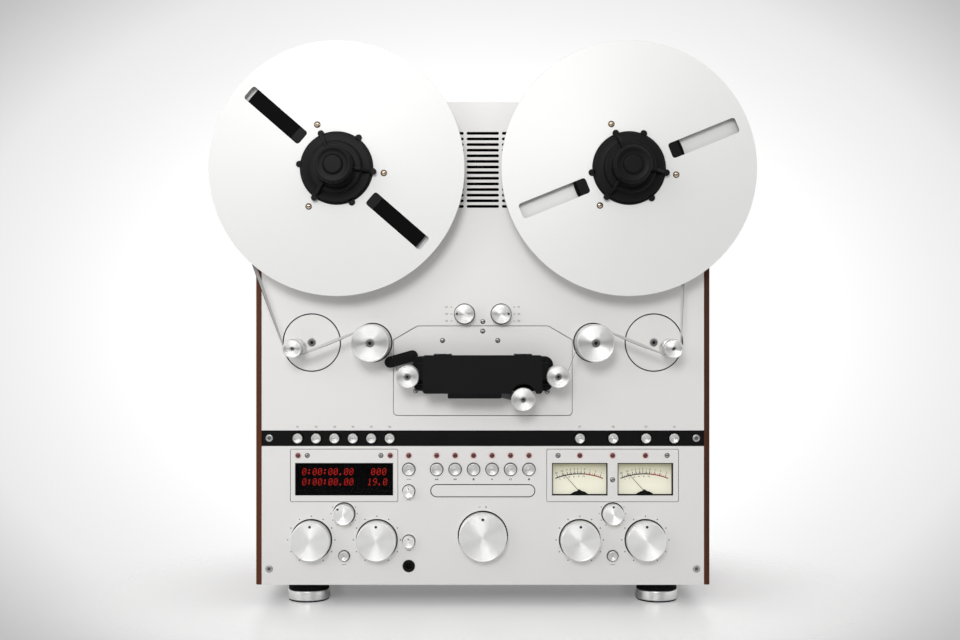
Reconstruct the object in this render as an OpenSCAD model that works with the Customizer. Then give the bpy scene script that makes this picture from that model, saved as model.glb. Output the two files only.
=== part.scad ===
// Upright open-reel tape recorder on four round feet, at its real size in millimetres.
// X runs to the right, Z up from the floor, and the front looks along -Y.

/* [Case] */
// Width of the front plates, between the wooden side panels
panel_w = 472; // [470:1:500]
// Height of the front above the feet
case_h = 515; // [505:1:560]
// Depth from the front face to the rear face
case_d = 220; // [190:1:300]
// Thickness of the front plates
panel_t = 6; // [5.5:0.5:8]
// Thickness of the wooden side panels
cheek_t = 6; // [4:0.5:20]
// Thickness of the folded sheet of the shell
sheet_t = 2; // [1:0.5:3]
// Width of the square rails of the inner frame
rail_w = 14; // [12:1:18]
// Joint line between neighbouring front plates
seam = 0.4; // [0.2:0.1:0.8]
// Thickness of the plates let into the front
inlay_t = 2.5; // [2:0.1:3]

/* [Feet] */
// Height of the feet
foot_h = 22; // [18:1:30]
// Radius of the feet
foot_r = 23; // [15:0.5:30]
// Height of the thin pad under a foot
foot_pad_h = 1.5; // [1:0.1:3]
// Height of the brushed disc of a foot
foot_disc_h = 11; // [6:0.5:14]
// Distance of the feet from the middle
foot_x = 190; // [120:1:200]
// Distance of the feet from the front and rear faces
foot_inset = 36; // [30:1:60]

/* [Front plates] */
// Height of the control panel
control_h = 148; // [147:1:156]
// Height of the black key strip
strip_h = 16; // [13:0.5:18]
// Depth of the strip's face behind the plates
strip_sink = 1; // [0.5:0.1:1.5]
// Number of rows of vent slots
vent_rows = 14; // [6:1:16]
// Distance between the rows of vent slots
vent_pitch = 6; // [5:0.1:6.5]
// Height of a vent slot
vent_slot_h = 3; // [2:0.1:4]
// Width of a vent slot
vent_slot_w = 34.5; // [20:0.5:36]
// Width of the ribs between the columns of slots
vent_rib = 3.1; // [2:0.1:5]
// Height of the vents' middle in the deck plate, as a share of the plate's height
vent_share = 0.79383; // [0.77:0.00001:0.81]

/* [Reels] */
// Radius of a reel
reel_r = 133.35; // [120:0.05:136]
// Distance of the reels from the middle
reel_x = 152.5; // [150:0.5:156]
// Height of the reels' centres in the deck plate, as a share of the plate's height
reel_share = 0.78869; // [0.77:0.00001:0.83]
// Distance of the reels' rear flange from the front face
reel_lift = 22; // [18:0.5:26]
// Thickness of a flange
flange_t = 1.2; // [0.8:0.1:1.5]
// Room between the flanges
reel_gap = 8; // [7.2:0.1:9]
// Radius of the hole of a reel
reel_bore_r = 38.1; // [37:0.1:40]
// Radius of the core that the tape is wound on
core_r = 57; // [54:0.5:59]
// Radius of the tape pack on the supply reel
supply_pack_r = 116; // [70:1:125]
// Radius of the tape pack on the take-up reel
takeup_pack_r = 60; // [59.5:0.5:90]
// Distance of the windows' inner end from the reel's centre
window_r0 = 46.5; // [44:0.5:48]
// Length of a window in the front flange
window_l = 75; // [40:1:78]
// Width of a window in the front flange
window_w = 16.5; // [10:0.5:20]
// Corner radius of a window
window_corner_r = 3; // [1:0.5:5]
// Distance of the reel screws from the reel's centre
reel_screw_pcr = 49.5; // [48:0.1:51]

/* [Hub adapters] */
// Radius of the reel table behind a reel
table_r = 55; // [46:1:60]
// Thickness of the reel table
table_t = 8; // [6:0.5:10]
// Radius of the spindle in the motor
spindle_r = 5; // [4:0.5:6]
// Reach of the drive lugs and lock lugs from the centre
lug_r = 42; // [41.5:0.1:43]
// Width of a lug
lug_w = 7; // [5:0.5:9]
// Radius of the twist knob
lock_r = 19.5; // [15:0.5:24]
// Radius of the step under the twist knob
lock_step_r = 27; // [25:0.5:32]
// Length of the twist knob in front of the adapter
lock_l = 37; // [25:1:45]
// Radius of the twist knob's stem in the adapter
lock_stem_r = 6; // [5:0.5:8]

/* [Tape path] */
// Width of the tape
tape_w = 6.3; // [6:0.05:6.4]
// Thickness of the tape as modelled
tape_t = 0.3; // [0.2:0.05:0.5]
// Height of the guide rollers in the deck plate, as a share of the plate's height
guide_share = 0.26756; // [0.25:0.00001:0.286]
// Room between the head plate and a guide roller, as a share of the spare width beside the head plate
guide_room_share = 0.060976; // [0.05:0.000001:0.17]
// Radius of a guide roller
guide_r = 20; // [18:0.5:21]
// Radius of the tape's groove in a guide roller
guide_groove_r = 16; // [12:0.5:17]
// Room between a tension disc and the side panel, as a share of the spare width beside the head plate
tension_room_share = 0.573171; // [0.5:0.000001:0.63]
// Radius of a tension disc
tension_r = 30; // [28:0.5:32]
// Thickness of a tension disc
tension_t = 3; // [2.5:0.1:3.5]
// Distance of the tension roller from its disc's centre
tension_arm = 16.8; // [15:0.1:18]
// Direction of the left tension roller from its disc's centre, in degrees
tension_angle = 200; // [190:1:215]
// Radius of a tension roller
tension_roller_r = 10; // [8:0.5:11]
// Radius of the tape's groove in a tension roller
tension_groove_r = 8.6; // [6:0.1:8.8]
// Height of the head rollers in the deck plate, as a share of the plate's height
head_share = 0.16762; // [0.157:0.00001:0.177]
// Distance of the head rollers from the middle
head_roller_x = 78.5; // [78:0.1:82]
// Radius of a head roller
head_roller_r = 12; // [9:0.5:12.5]
// Radius of the tape's groove in a head roller
head_groove_r = 8; // [7:0.1:8.5]
// Radius of the necks under the head rollers
head_neck_r = 7; // [5:0.5:7.5]
// Reach of the rollers in front of the front face
roller_reach = 38; // [36:0.5:42]
// Radius of the capstan
capstan_r = 4; // [2:0.5:4.5]
// Distance of the capstan from the middle
capstan_x = 42.4; // [38:0.1:44]
// Radius of the pinch roller's cap
pinch_r = 12.5; // [11:0.1:12.8]
// Sideways reach of the pinch arm from its pivot to the roller
pinch_reach = 26; // [24:0.5:30]
// Room between the pinch roller and the tape at rest
pinch_open = 3; // [2:0.1:3.5]

/* [Heads] */
// Width of the head plate
head_plate_w = 190; // [186:1:194]
// Height of the head plate
head_plate_h = 95; // [93:0.5:96]
// Distance of the head plate's lower edge under the head rollers
head_plate_drop = 42.5; // [40:0.5:44]
// Width of the head cover
cover_w = 124.6; // [118:0.1:126]
// Height of the head cover
cover_h = 40; // [36:0.5:42]
// Thickness of the head cover
cover_t = 3; // [2:0.1:4]
// Distance of the cover's top edge above the head rollers
cover_rise = 22.5; // [21:0.5:24]
// Distance of the cover's hinges from the middle
cover_hinge_x = 42; // [38:0.5:44]
// Width of a tape head
head_w = 16; // [10:0.5:18]
// Distance between the tape heads
head_pitch = 24; // [19:0.5:25]
// Length of the cue lever between the centres of its round ends
lever_l = 23.9; // [18:0.1:26]
// Width of the cue lever
lever_w = 12; // [8:0.5:12.5]

/* [Instruments] */
// Place of the left group of controls, as a share of the front's width
left_group_share = -0.313559; // [-0.318:0.000001:-0.309]
// Place of the right group of controls, as a share of the front's width
right_group_share = 0.293432; // [0.29:0.000001:0.3]
// Distance of a pair's meters and knobs from their group's middle, as a share of the front's width
pair_share = 0.074153; // [0.072:0.000001:0.078]
// Room between the bezels and the control panel's upper edge
bezel_top = 3.5; // [2.5:0.1:4.5]
// Height of a bezel
bezel_h = 55.6; // [54:0.1:57]
// Width of the display bezel, as a share of the front's width
display_bezel_share = 0.241949; // [0.237:0.000001:0.246]
// Width of the meter bezel, as a share of the front's width
meter_bezel_share = 0.297034; // [0.292:0.000001:0.299]
// Height of the windows' lower edge above the bezel's
window_rise = 6.4; // [5:0.1:8]
// Height of the windows
pane_h = 34.7; // [32:0.1:36]
// Width of the display window, as a share of the front's width
display_pane_share = 0.22161; // [0.19:0.00001:0.225]
// Width of a meter window, as a share of the front's width
meter_pane_share = 0.125636; // [0.106:0.000001:0.127]
// Thickness of a window
pane_t = 1.5; // [1:0.1:2]
// Depth of the displays and meters behind their windows
instrument_d = 18; // [16:0.5:24]
// Room for the needle behind a meter's window
meter_room = 7; // [6.5:0.1:9]
// Length of a meter needle
needle_l = 26; // [20:0.5:27]
// Lean of a meter needle to the left at rest, in degrees
needle_rest = 42; // [30:1:45]

/* [Knobs and keys] */
// Radius of a large knob
knob_r = 21; // [18:0.5:22]
// Reach of a large knob in front of the panel
knob_h = 15; // [10:0.5:20]
// Radius of the jog knob
jog_r = 25.5; // [20:0.5:27]
// Radius of the small knobs above the large ones
mid_knob_r = 11; // [8:0.5:12]
// Radius of the two selector knobs on the deck
selector_r = 10.5; // [8:0.5:12]
// Distance of the selector knobs from the middle
selector_x = 19.5; // [17:0.5:24]
// Reach of the small and selector knobs in front of the plate
mid_knob_h = 12; // [8:0.5:16]
// Radius of the trim knobs beside the socket
trim_r = 6.3; // [5:0.1:7]
// Reach of the trim knobs in front of the panel
trim_h = 9; // [6:0.5:12]
// Radius of the knobs' shafts
shaft_r = 3; // [2:0.5:3.5]
// Place of the socket column, as a share of the front's width
column_share = -0.167373; // [-0.17:0.000001:-0.161]
// Radius of a transport key
key_r = 6.4; // [5:0.1:6.6]
// Distance between the transport keys, as a share of the front's width
key_share = 0.041737; // [0.036:0.000001:0.042]
// Radius of a strip key
strip_key_r = 5.3; // [4:0.1:5.5]
// Distance between the strip keys on the left, as a share of the front's width
strip_key_share = 0.041568; // [0.032:0.000001:0.042]
// Radius of the small keys between the large knobs
small_key_r = 5.5; // [4:0.1:6]
// Reach of the keys in front of the panel
key_h = 3.2; // [2.8:0.1:5]
// Travel of the keys
key_travel = 2.5; // [1:0.1:2.7]
// Radius of a key's stem
stem_r = 2; // [1.5:0.1:2.5]
// Radius of the lamps
lamp_r = 2.2; // [1.5:0.1:2.5]

/* [Sockets] */
// Radius of the headphone socket's bore
phones_bore_r = 3.2; // [3.2:0.05:3.3]
// Depth of the headphone socket's bore
phones_bore_l = 18; // [15:0.5:24]
// Radius of the headphone socket's face
phones_r = 6.5; // [5.5:0.1:7.5]
// Radius of the line sockets on the rear
line_r = 4.15; // [4.1:0.05:4.2]
// Length of the line sockets on the rear
line_l = 9; // [7:0.5:12]
// Width of the mains inlet's recess
inlet_w = 24.5; // [22:0.5:28]
// Height of the mains inlet's recess
inlet_h = 17; // [15:0.5:20]
// Depth of the mains inlet's recess
inlet_d = 16; // [12:0.5:20]

/* [Clearances] */
// Running clearance of a shaft in its bore
fit = 0.05; // [0.02:0.01:0.1]
// Room between moving faces
gap = 0.3; // [0.2:0.05:0.5]
// Open ring round knobs, rollers and keys
ring_gap = 0.8; // [0.5:0.1:1]
// Room round fixed pieces in their holes
loose = 0.15; // [0.1:0.05:0.2]

/* [Hidden] */
$fn = 64;

// Colours
silver = [0.82, 0.82, 0.81];
bright = [0.9, 0.9, 0.89];
black = [0.1, 0.1, 0.1];
walnut = [0.31, 0.17, 0.09];
steel = [0.6, 0.61, 0.62];
brown_tape = [0.13, 0.1, 0.09];
board_green = [0.1, 0.3, 0.18];
lamp_red = [0.45, 0.05, 0.05];
cream = [0.93, 0.9, 0.8];
glass = [0.75, 0.8, 0.82, 0.4];

// Heights on the front, above the floor
top_y = foot_h + case_h;
inner_y0 = foot_h + sheet_t;
inner_y1 = top_y - sheet_t;
strip_y0 = foot_h + control_h + seam;
deck_y0 = strip_y0 + strip_h + seam;
strip_y = strip_y0 + strip_h / 2;
deck_h = top_y - deck_y0;
reel_y = deck_y0 + deck_h * reel_share;
vent_y = deck_y0 + deck_h * vent_share;
guide_y = deck_y0 + deck_h * guide_share;
head_y = deck_y0 + deck_h * head_share;
selector_rise = 30.5;
selector_y = guide_y + selector_rise;
bezel_y0 = foot_h + control_h - bezel_top - bezel_h;
pane_y0 = bezel_y0 + window_rise;
key_row_rise = 34.3;
key_row_y = bezel_y0 + key_row_rise;
lamp_row_rise = 14.8;
lamp_row_y = key_row_y + lamp_row_rise;
inlay_drop = 22.8;
inlay_y = key_row_y - inlay_drop;
knob_row_drop = 52;
knob_row_y = foot_h + (control_h - knob_row_drop) / 2;
jog_rise = 4.3;
jog_y = knob_row_y + jog_rise;
mid_knob_room = 1.9;
mid_knob_y = bezel_y0 - mid_knob_room - mid_knob_r;
small_key_drop = 17.2;
small_key_y = knob_row_y - small_key_drop;
column_upper_drop = 23;
column_upper_y = key_row_y - column_upper_drop;
column_lower_drop = 1.4;
column_lower_y = knob_row_y - column_lower_drop;
phones_drop = 28;
phones_y = knob_row_y - phones_drop;

// Places and widths that follow the front's width
side_spare = panel_w / 2 - head_plate_w / 2 - 2 * guide_r - 2 * tension_r;
guide_x = head_plate_w / 2 + guide_r + side_spare * guide_room_share;
tension_x = panel_w / 2 - tension_r - side_spare * tension_room_share;
left_group_x = panel_w * left_group_share;
right_group_x = panel_w * right_group_share;
pair_offset = panel_w * pair_share;
display_bezel_w = panel_w * display_bezel_share;
meter_bezel_w = panel_w * meter_bezel_share;
display_pane_w = panel_w * display_pane_share;
meter_pane_w = panel_w * meter_pane_share;
column_x = panel_w * column_share;
key_pitch = panel_w * key_share;
strip_key_pitch = panel_w * strip_key_share;
inlay_w = 6 * key_pitch - 6.2;
inlay_h = 14;
inlay_line = 0.8;

// Depths, counted outwards from the front face
flange_front = reel_lift + flange_t + reel_gap;
reel_front = flange_front + flange_t;
tape_mid = reel_lift + flange_t + reel_gap / 2;
groove_z0 = tape_mid - tape_w / 2 - 1.2;
groove_z1 = tape_mid + tape_w / 2 + 1.2;
adapter_front = reel_front + 2.2;
lock_back = adapter_front + gap;
front_reach = adapter_front + lock_l;
back_reach = case_d + line_l;
front_y = (front_reach - back_reach) / 2;
cover_back = roller_reach - cover_t;
pocket_floor = panel_t - inlay_t;

// Sizes that follow from the tape's path
tape_line = gap + tape_t;
head_tape_y = head_y - head_groove_r - tape_line;
pinch_rubber_r = pinch_r - 0.5;
pinch_y = head_tape_y - pinch_open - pinch_rubber_r;
pinch_shift = 0.4;
pinch_x = capstan_x - pinch_shift;
pinch_pivot = [pinch_x - pinch_reach, pinch_y + 6];
capstan_y = head_tape_y + tape_t + gap + capstan_r;
cover_y1 = head_y + cover_rise;
cover_y0 = cover_y1 - cover_h;
cover_x0 = -cover_w / 2 - 0.3;
hinge_y = cover_y1 + 3.5;
hinge_z = cover_back - 3.5;
cover_corner_r = 3;
tab_start = 26;
tab_w = 56;
tab_drop = 5;
tab_corner_r = 1.5;
hinge_knuckle_w = 10;
hinge_knuckle_r = 2.4;
hinge_pin_r = 1.2;
block_z = 14;
block_y0 = head_tape_y + 6.1;
block_y1 = cover_y1 - 2;
head_x = [-1.3 * head_pitch, -0.25 * head_pitch, 0.75 * head_pitch];
lever_pivot = [3.5 - head_roller_x, head_y + 21];
lever_angle = 195.8;

// Fasteners
screw_shank_r = 1.2;
screw_sink = 1.2;
screw_proud = 0.3;
screw_grip = 8;
frame_screw_r = 3.8;
plate_screw_r = 2.5;
reel_screw_r = 3;
frame_screws = [for (s = [-1, 1], y = [strip_y, foot_h + 17]) [s * (panel_w / 2 - 8), y]];
head_screws = [
    [-43, head_y + 37.2], [16, head_y + 37.2], [0, head_y + 47.2], [-71.6, head_y - 16.5], [68.7, head_y - 17]
];
deck_screws = [[0, head_y + 57.3]];
bezel_screws = [
    [left_group_x - 0.344 * display_bezel_w, lamp_row_y], [left_group_x + 0.344 * display_bezel_w, lamp_row_y],
    [right_group_x - 0.415 * meter_bezel_w, lamp_row_y], [right_group_x + 0.415 * meter_bezel_w, lamp_row_y],
    [right_group_x, pane_y0 + 0.484 * pane_h]
];

// Controls
transport_x = [for (i = [0 : 5]) (i - 2.5) * key_pitch];
strip_left_x = [for (i = [0 : 5]) left_group_x + (i - 2.518) * strip_key_pitch];
strip_right_x = [for (d = [-1, 0.014, 1.014, 1.871]) right_group_x + d * pair_offset];
strip_keys = [for (x = concat(strip_left_x, strip_right_x)) [x, strip_y]];
small_keys = [for (x = [left_group_x, right_group_x]) [x, small_key_y]];
column_key = [column_x, key_row_y];
panel_lamps = concat([[column_x, lamp_row_y]], [for (x = transport_x) [x, lamp_row_y]]);
bezel_lamps = concat(
    [for (s = [-1, 1]) [left_group_x + s * 0.431 * display_bezel_w, lamp_row_y]],
    [for (s = [-1, 0, 1]) [right_group_x + s * pair_offset, lamp_row_y]]
);
board_z = panel_t + 10;
board_t = 1.6;
key_back = 5;
shaft_end = panel_t + 7;
meter_x = [for (s = [-1, 1]) right_group_x + s * pair_offset];
meter_rim = 1;
pivot_y = pane_y0 + meter_rim + 2.5;
dial_z = inlay_t + meter_room;

// Inner units
motor_room = 8;
motor_r = inner_y1 - rail_w - reel_y - motor_room;
motor_l = 70;
capstan_motor_r = 34;
capstan_motor_l = 60;
spindle_l = 40;
line_x = [-150, -120, -60, -30];
rear_socket_rise = 60;
line_y = foot_h + rear_socket_rise;
line_step = 2;
inlet_x = 170;
inlet_y = foot_h + rear_socket_rise;
inlet_wall = 3;
phones_lip = 2;
rear_vent_x = 60;
rear_vent_w = 80;

// The front face as a drawing plane: x right, y up from the floor, z towards the viewer
module on_front() {
    translate([0, front_y, 0]) rotate([90, 0, 0]) children();
}
module at(p) {
    translate([p[0], p[1], 0]) children();
}
// A slab of a flat shape between two depths
module slab(z0, z1) {
    translate([0, 0, z0]) linear_extrude(z1 - z0) children();
}
module drill(r) {
    translate([0, 0, -panel_t - 1]) cylinder(h = panel_t + 2, r = r);
}
module sink(r, depth) {
    translate([0, 0, -depth]) cylinder(h = depth + 1, r = r);
}
module rounded(x0, y0, w, h, r) {
    translate([x0 + r, y0]) square([w - 2 * r, h]);
    translate([x0, y0 + r]) square([w, h - 2 * r]);
    for (x = [x0 + r, x0 + w - r], y = [y0 + r, y0 + h - r]) translate([x, y]) circle(r);
}
module pill(w, h) {
    rounded(-w / 2, -h / 2, w, h, h / 2 - 0.001);
}
// A turned piece: pairs of radius and depth, closed on the axis
module turned(profile) {
    rotate_extrude() polygon(profile);
}
module screw_hole(r) {
    sink(r + loose, screw_sink);
    drill(screw_shank_r + loose);
}
module screw(r, l) {
    translate([0, 0, -screw_sink]) cylinder(h = screw_sink + screw_proud, r = r);
    translate([0, 0, -l]) cylinder(h = l - screw_sink + 0.1, r = screw_shank_r);
}
// A knob hole: a shallow recess for the skirt and a running bore for the shaft
module knob_hole(r) {
    sink(r + ring_gap, knob_sink + gap);
    drill(shaft_r + fit);
}
knob_sink = 1.2;
knob_edge = 0.8;
dot_r = 1.1;
module knob(r, h, dot_angle) {
    difference() {
        turned([
            [0, -shaft_end], [shaft_r, -shaft_end], [shaft_r, -knob_sink], [r, -knob_sink],
            [r, h - knob_edge], [r - knob_edge, h], [0, h]
        ]);
        rotate(dot_angle) translate([r - 4 * dot_r, 0, h - 0.5]) cylinder(h = 1, r = min(dot_r, r / 8));
    }
}
module key(r) {
    translate([0, 0, -key_back]) cylinder(h = key_back + key_h, r = r);
    translate([0, 0, -board_z - board_t - 2]) cylinder(h = board_z + board_t + 2 - key_back + 0.1, r = stem_r);
}

// Case
module chassis_frame() color(steel) on_front() difference() {
    union() {
        for (z = [-panel_t - rail_w, -case_d + sheet_t]) translate([0, 0, z]) frame_ring();
        for (x = [-panel_w / 2, panel_w / 2 - rail_w], y = [inner_y0, inner_y1 - rail_w])
            translate([x, y, -case_d + sheet_t]) cube([rail_w, rail_w, case_d - sheet_t - panel_t]);
    }
    for (p = frame_screws) at(p) translate([0, 0, -panel_t - screw_grip - gap])
        cylinder(h = screw_grip + 1, r = screw_shank_r + loose);
    at([column_x, phones_y]) translate([0, 0, -panel_t - rail_w - 1])
        cylinder(h = rail_w + 2, r = phones_r + phones_lip + ring_gap);
}
module frame_ring() {
    linear_extrude(rail_w) difference() {
        translate([-panel_w / 2, inner_y0]) square([panel_w, inner_y1 - inner_y0]);
        translate([-panel_w / 2 + rail_w, inner_y0 + rail_w])
            square([panel_w - 2 * rail_w, inner_y1 - inner_y0 - 2 * rail_w]);
    }
}
module cabinet_shell() color([0.2, 0.2, 0.21]) on_front() difference() {
    union() {
        for (y = [foot_h, top_y - sheet_t])
            translate([-panel_w / 2, y, -case_d]) cube([panel_w, sheet_t, case_d - panel_t]);
        translate([-panel_w / 2, foot_h, -case_d]) cube([panel_w, case_h, sheet_t]);
    }
    for (x = line_x) translate([x, line_y, -case_d - 1]) cylinder(h = sheet_t + 2, r = line_r + line_step + loose);
    translate([inlet_x - inlet_w / 2 - inlet_wall - loose, inlet_y - inlet_h / 2 - inlet_wall - loose, -case_d - 1])
        cube([inlet_w + 2 * (inlet_wall + loose), inlet_h + 2 * (inlet_wall + loose), sheet_t + 2]);
    for (s = [-1, 1], i = [0 : vent_rows - 1])
        translate([s * rear_vent_x, vent_y + (i - (vent_rows - 1) / 2) * vent_pitch, -case_d - 1])
            linear_extrude(sheet_t + 2) pill(rear_vent_w, vent_slot_h);
}
module side_panels() color(walnut) on_front() {
    for (x = [-panel_w / 2 - cheek_t, panel_w / 2]) translate([x, foot_h, -case_d]) cube([cheek_t, case_h, case_d]);
}
module feet() on_front() {
    for (s = [-1, 1], z = [-foot_inset, foot_inset - case_d]) translate([s * foot_x, 0, z]) rotate([-90, 0, 0]) {
        color(black) cylinder(h = foot_pad_h, r = foot_r - 1);
        color(bright) translate([0, 0, foot_pad_h]) cylinder(h = foot_disc_h, r = foot_r);
        color(black) translate([0, 0, foot_pad_h + foot_disc_h])
            cylinder(h = foot_h - foot_pad_h - foot_disc_h, r = foot_r - 1);
    }
}

// Front plates
module deck_plate() color(silver) on_front() difference() {
    translate([-panel_w / 2, deck_y0, -panel_t]) cube([panel_w, top_y - deck_y0, panel_t]);
    for (c = [-1, 0, 1], i = [0 : vent_rows - 1])
        translate([c * (vent_slot_w + vent_rib), vent_y + (i - (vent_rows - 1) / 2) * vent_pitch, -panel_t - 1])
            linear_extrude(panel_t + 2) pill(vent_slot_w, vent_slot_h);
    slab(-inlay_t, 1) head_outline(seam);
    for (s = [-1, 1]) {
        at([s * reel_x, reel_y]) drill(spindle_r + 2);
        at([s * tension_x, guide_y]) {
            sink(tension_r + ring_gap, tension_t + gap);
            drill(tension_shaft_r + fit);
        }
        at([s * guide_x, guide_y]) {
            sink(guide_r + ring_gap, knob_sink + gap);
            drill(guide_shaft_r + fit);
        }
        at([s * selector_x, selector_y]) knob_hole(selector_r);
        at([s * head_roller_x, head_y]) drill(shaft_r + fit);
    }
    at(pinch_pivot) drill(pinch_shaft_r + fit);
    at(lever_pivot) drill(shaft_r + fit);
    at([capstan_x, capstan_y]) drill(capstan_r + ring_gap);
    for (p = concat(head_screws, deck_screws)) at(p) screw_hole(plate_screw_r);
}
tension_shaft_r = 5;
guide_shaft_r = 5;
pinch_shaft_r = 4;
head_corner_w = 25.6;
head_corner_h = 15;
head_corner_r = 4;
module head_outline(grow) {
    x = head_plate_w / 2 + grow;
    y0 = head_y - head_plate_drop - grow;
    y1 = y0 + head_plate_h + 2 * grow;
    r = head_corner_r + grow;
    polygon([
        [r - x, y0], [x - r, y0], [x, y0 + r], [x, y1 - head_corner_h], [x - head_corner_w, y1],
        [head_corner_w - x, y1], [-x, y1 - head_corner_h], [-x, y0 + r]
    ]);
    for (s = [-1, 1]) translate([s * (x - r), y0 + r]) circle(r);
}
module control_panel() color(silver) on_front() difference() {
    translate([-panel_w / 2, foot_h, -panel_t]) cube([panel_w, control_h, panel_t]);
    slab(-inlay_t, 1) bezel_outlines(seam / 2);
    slab(-panel_t - 1, 1) instrument_outlines(gap);
    for (p = concat(panel_lamps, bezel_lamps)) at(p) drill(lamp_r + loose);
    for (p = bezel_screws) at(p) screw_hole(plate_screw_r);
    for (p = frame_screws) if (p[1] < strip_y0) at(p) screw_hole(frame_screw_r);
    for (x = transport_x) at([x, key_row_y]) drill(key_r + ring_gap);
    at(column_key) drill(key_r + ring_gap);
    for (p = small_keys) at(p) drill(small_key_r + ring_gap);
    for (x = [left_group_x, right_group_x]) {
        for (s = [-1, 1]) at([x + s * pair_offset, knob_row_y]) knob_hole(knob_r);
        at([x, mid_knob_y]) knob_hole(mid_knob_r);
    }
    at([0, jog_y]) knob_hole(jog_r);
    for (y = [column_upper_y, column_lower_y]) at([column_x, y]) knob_hole(trim_r);
    at([column_x, phones_y]) drill(phones_r + loose);
    at([0, inlay_y]) slab(-0.6, 1) difference() {
        pill(inlay_w, inlay_h);
        pill(inlay_w - 2 * inlay_line, inlay_h - 2 * inlay_line);
    }
}
module button_strip() color(black) on_front() difference() {
    translate([-panel_w / 2, strip_y0, -panel_t]) cube([panel_w, strip_h, panel_t - strip_sink]);
    for (p = strip_keys) at(p) drill(strip_key_r + ring_gap);
    for (p = frame_screws) if (p[1] > strip_y0) at(p) translate([0, 0, -strip_sink]) screw_hole(frame_screw_r);
}
module plate_screws() color(steel) on_front() {
    for (p = frame_screws) at(p) translate([0, 0, p[1] > strip_y0 ? -strip_sink : 0])
        screw(frame_screw_r, panel_t + screw_grip - strip_sink);
    for (p = concat(head_screws, deck_screws, bezel_screws)) at(p) screw(plate_screw_r, panel_t);
}

// Heads
module head_plate() color(silver) on_front() difference() {
    slab(-inlay_t, 0) head_outline(0);
    for (s = [-1, 1]) at([s * head_roller_x, head_y]) drill(shaft_r + ring_gap);
    at(pinch_pivot) drill(pinch_shaft_r + ring_gap);
    at(lever_pivot) drill(shaft_r + ring_gap);
    at([capstan_x, capstan_y]) drill(capstan_r + ring_gap);
    for (p = head_screws) at(p) screw_hole(plate_screw_r);
}
// A base under the heads, a curved shield beside each head roller and the fixed half of the cover's hinges
module head_block() color(black) on_front() {
    difference() {
        union() {
            translate([cover_x0 + 2, block_y0, 0]) cube([cover_w - 4, block_y1 - block_y0, block_z]);
            for (s = [-1, 1]) translate([s * (shield_x0 + shield_x1) / 2, block_y0 + 8, cover_back / 2 - gap])
                cube([shield_x1 - shield_x0, 18, cover_back - 2 * gap], center = true);
        }
        for (s = [-1, 1]) at([s * head_roller_x, head_y])
            translate([0, 0, -1]) cylinder(h = roller_reach + 2, r = head_roller_r + ring_gap);
        at([capstan_x, capstan_y]) translate([0, 0, -1]) cylinder(h = block_z + 2, r = capstan_r + ring_gap);
    }
    for (s = [-1, 1]) translate([s * cover_hinge_x, hinge_y, hinge_z]) rotate([0, 90, 0]) {
        cylinder(h = hinge_knuckle_w + 4, r = hinge_pin_r, center = true);
        for (t = [-1, 1]) translate([0, 0, t * (hinge_knuckle_w / 2 + gap + hinge_ear_w / 2)]) hinge_ear();
    }
}
shield_x0 = 56;
shield_x1 = 68;
hinge_ear_w = 4;
hinge_ear_root = 4;
// An ear of the hinge, drawn about the pin with x pointing back to the plate
module hinge_ear() {
    ear_top = 2.5;
    ear_front = 2.7;
    translate([-ear_front, block_y1 - hinge_y - hinge_ear_root, -hinge_ear_w / 2])
        cube([
            ear_front + hinge_z - block_z + hinge_ear_root, hinge_y - block_y1 + hinge_ear_root + ear_top, hinge_ear_w
        ]);
}
module tape_heads() color(steel) on_front() {
    nose_r = head_w / 2;
    nose_y = head_tape_y + tape_t + gap + nose_r;
    for (x = head_x) translate([x, nose_y, block_z]) {
        cylinder(h = cover_back - block_z - 1, r = nose_r);
        translate([-nose_r, 0, 0])
            cube([head_w, block_y1 - hinge_ear_root - nose_y - 1, cover_back - block_z - 1]);
    }
}
// The flat cover with its finger tab, a hollow for the pinch roller and the swinging half of its hinges
module head_cover() color(black) on_front() {
    notch_r = pinch_r + ring_gap;
    slab(cover_back, roller_reach) difference() {
        union() {
            rounded(cover_x0, cover_y0, cover_w, cover_h, cover_corner_r);
            rounded(cover_x0 + tab_start, cover_y0 - tab_drop, tab_w, tab_drop + cover_corner_r, tab_corner_r);
        }
        translate([pinch_x, pinch_y]) circle(notch_r);
        translate([pinch_x + pinch_shift, pinch_y + pinch_open]) circle(notch_r);
    }
    for (s = [-1, 1]) translate([s * cover_hinge_x, 0, 0]) difference() {
        union() {
            translate([-hinge_knuckle_w / 2, hinge_y, hinge_z]) rotate([0, 90, 0])
                cylinder(h = hinge_knuckle_w, r = hinge_knuckle_r);
            translate([-hinge_knuckle_w / 2, cover_y1 - 2, cover_back - 2])
                cube([hinge_knuckle_w, hinge_y - cover_y1 + 2, 2.1]);
        }
        translate([-hinge_knuckle_w, hinge_y, hinge_z]) rotate([0, 90, 0])
            cylinder(h = 2 * hinge_knuckle_w, r = hinge_pin_r + fit);
    }
}
module cue_lever() color(black) on_front() at(lever_pivot) {
    lever_z = 3;
    lever_t = 10;
    translate([0, 0, -panel_t]) cylinder(h = panel_t + lever_z + 1, r = shaft_r);
    rotate(lever_angle) translate([lever_l / 2, 0, lever_z])
        linear_extrude(lever_t) pill(lever_l + lever_w, lever_w);
}

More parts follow.
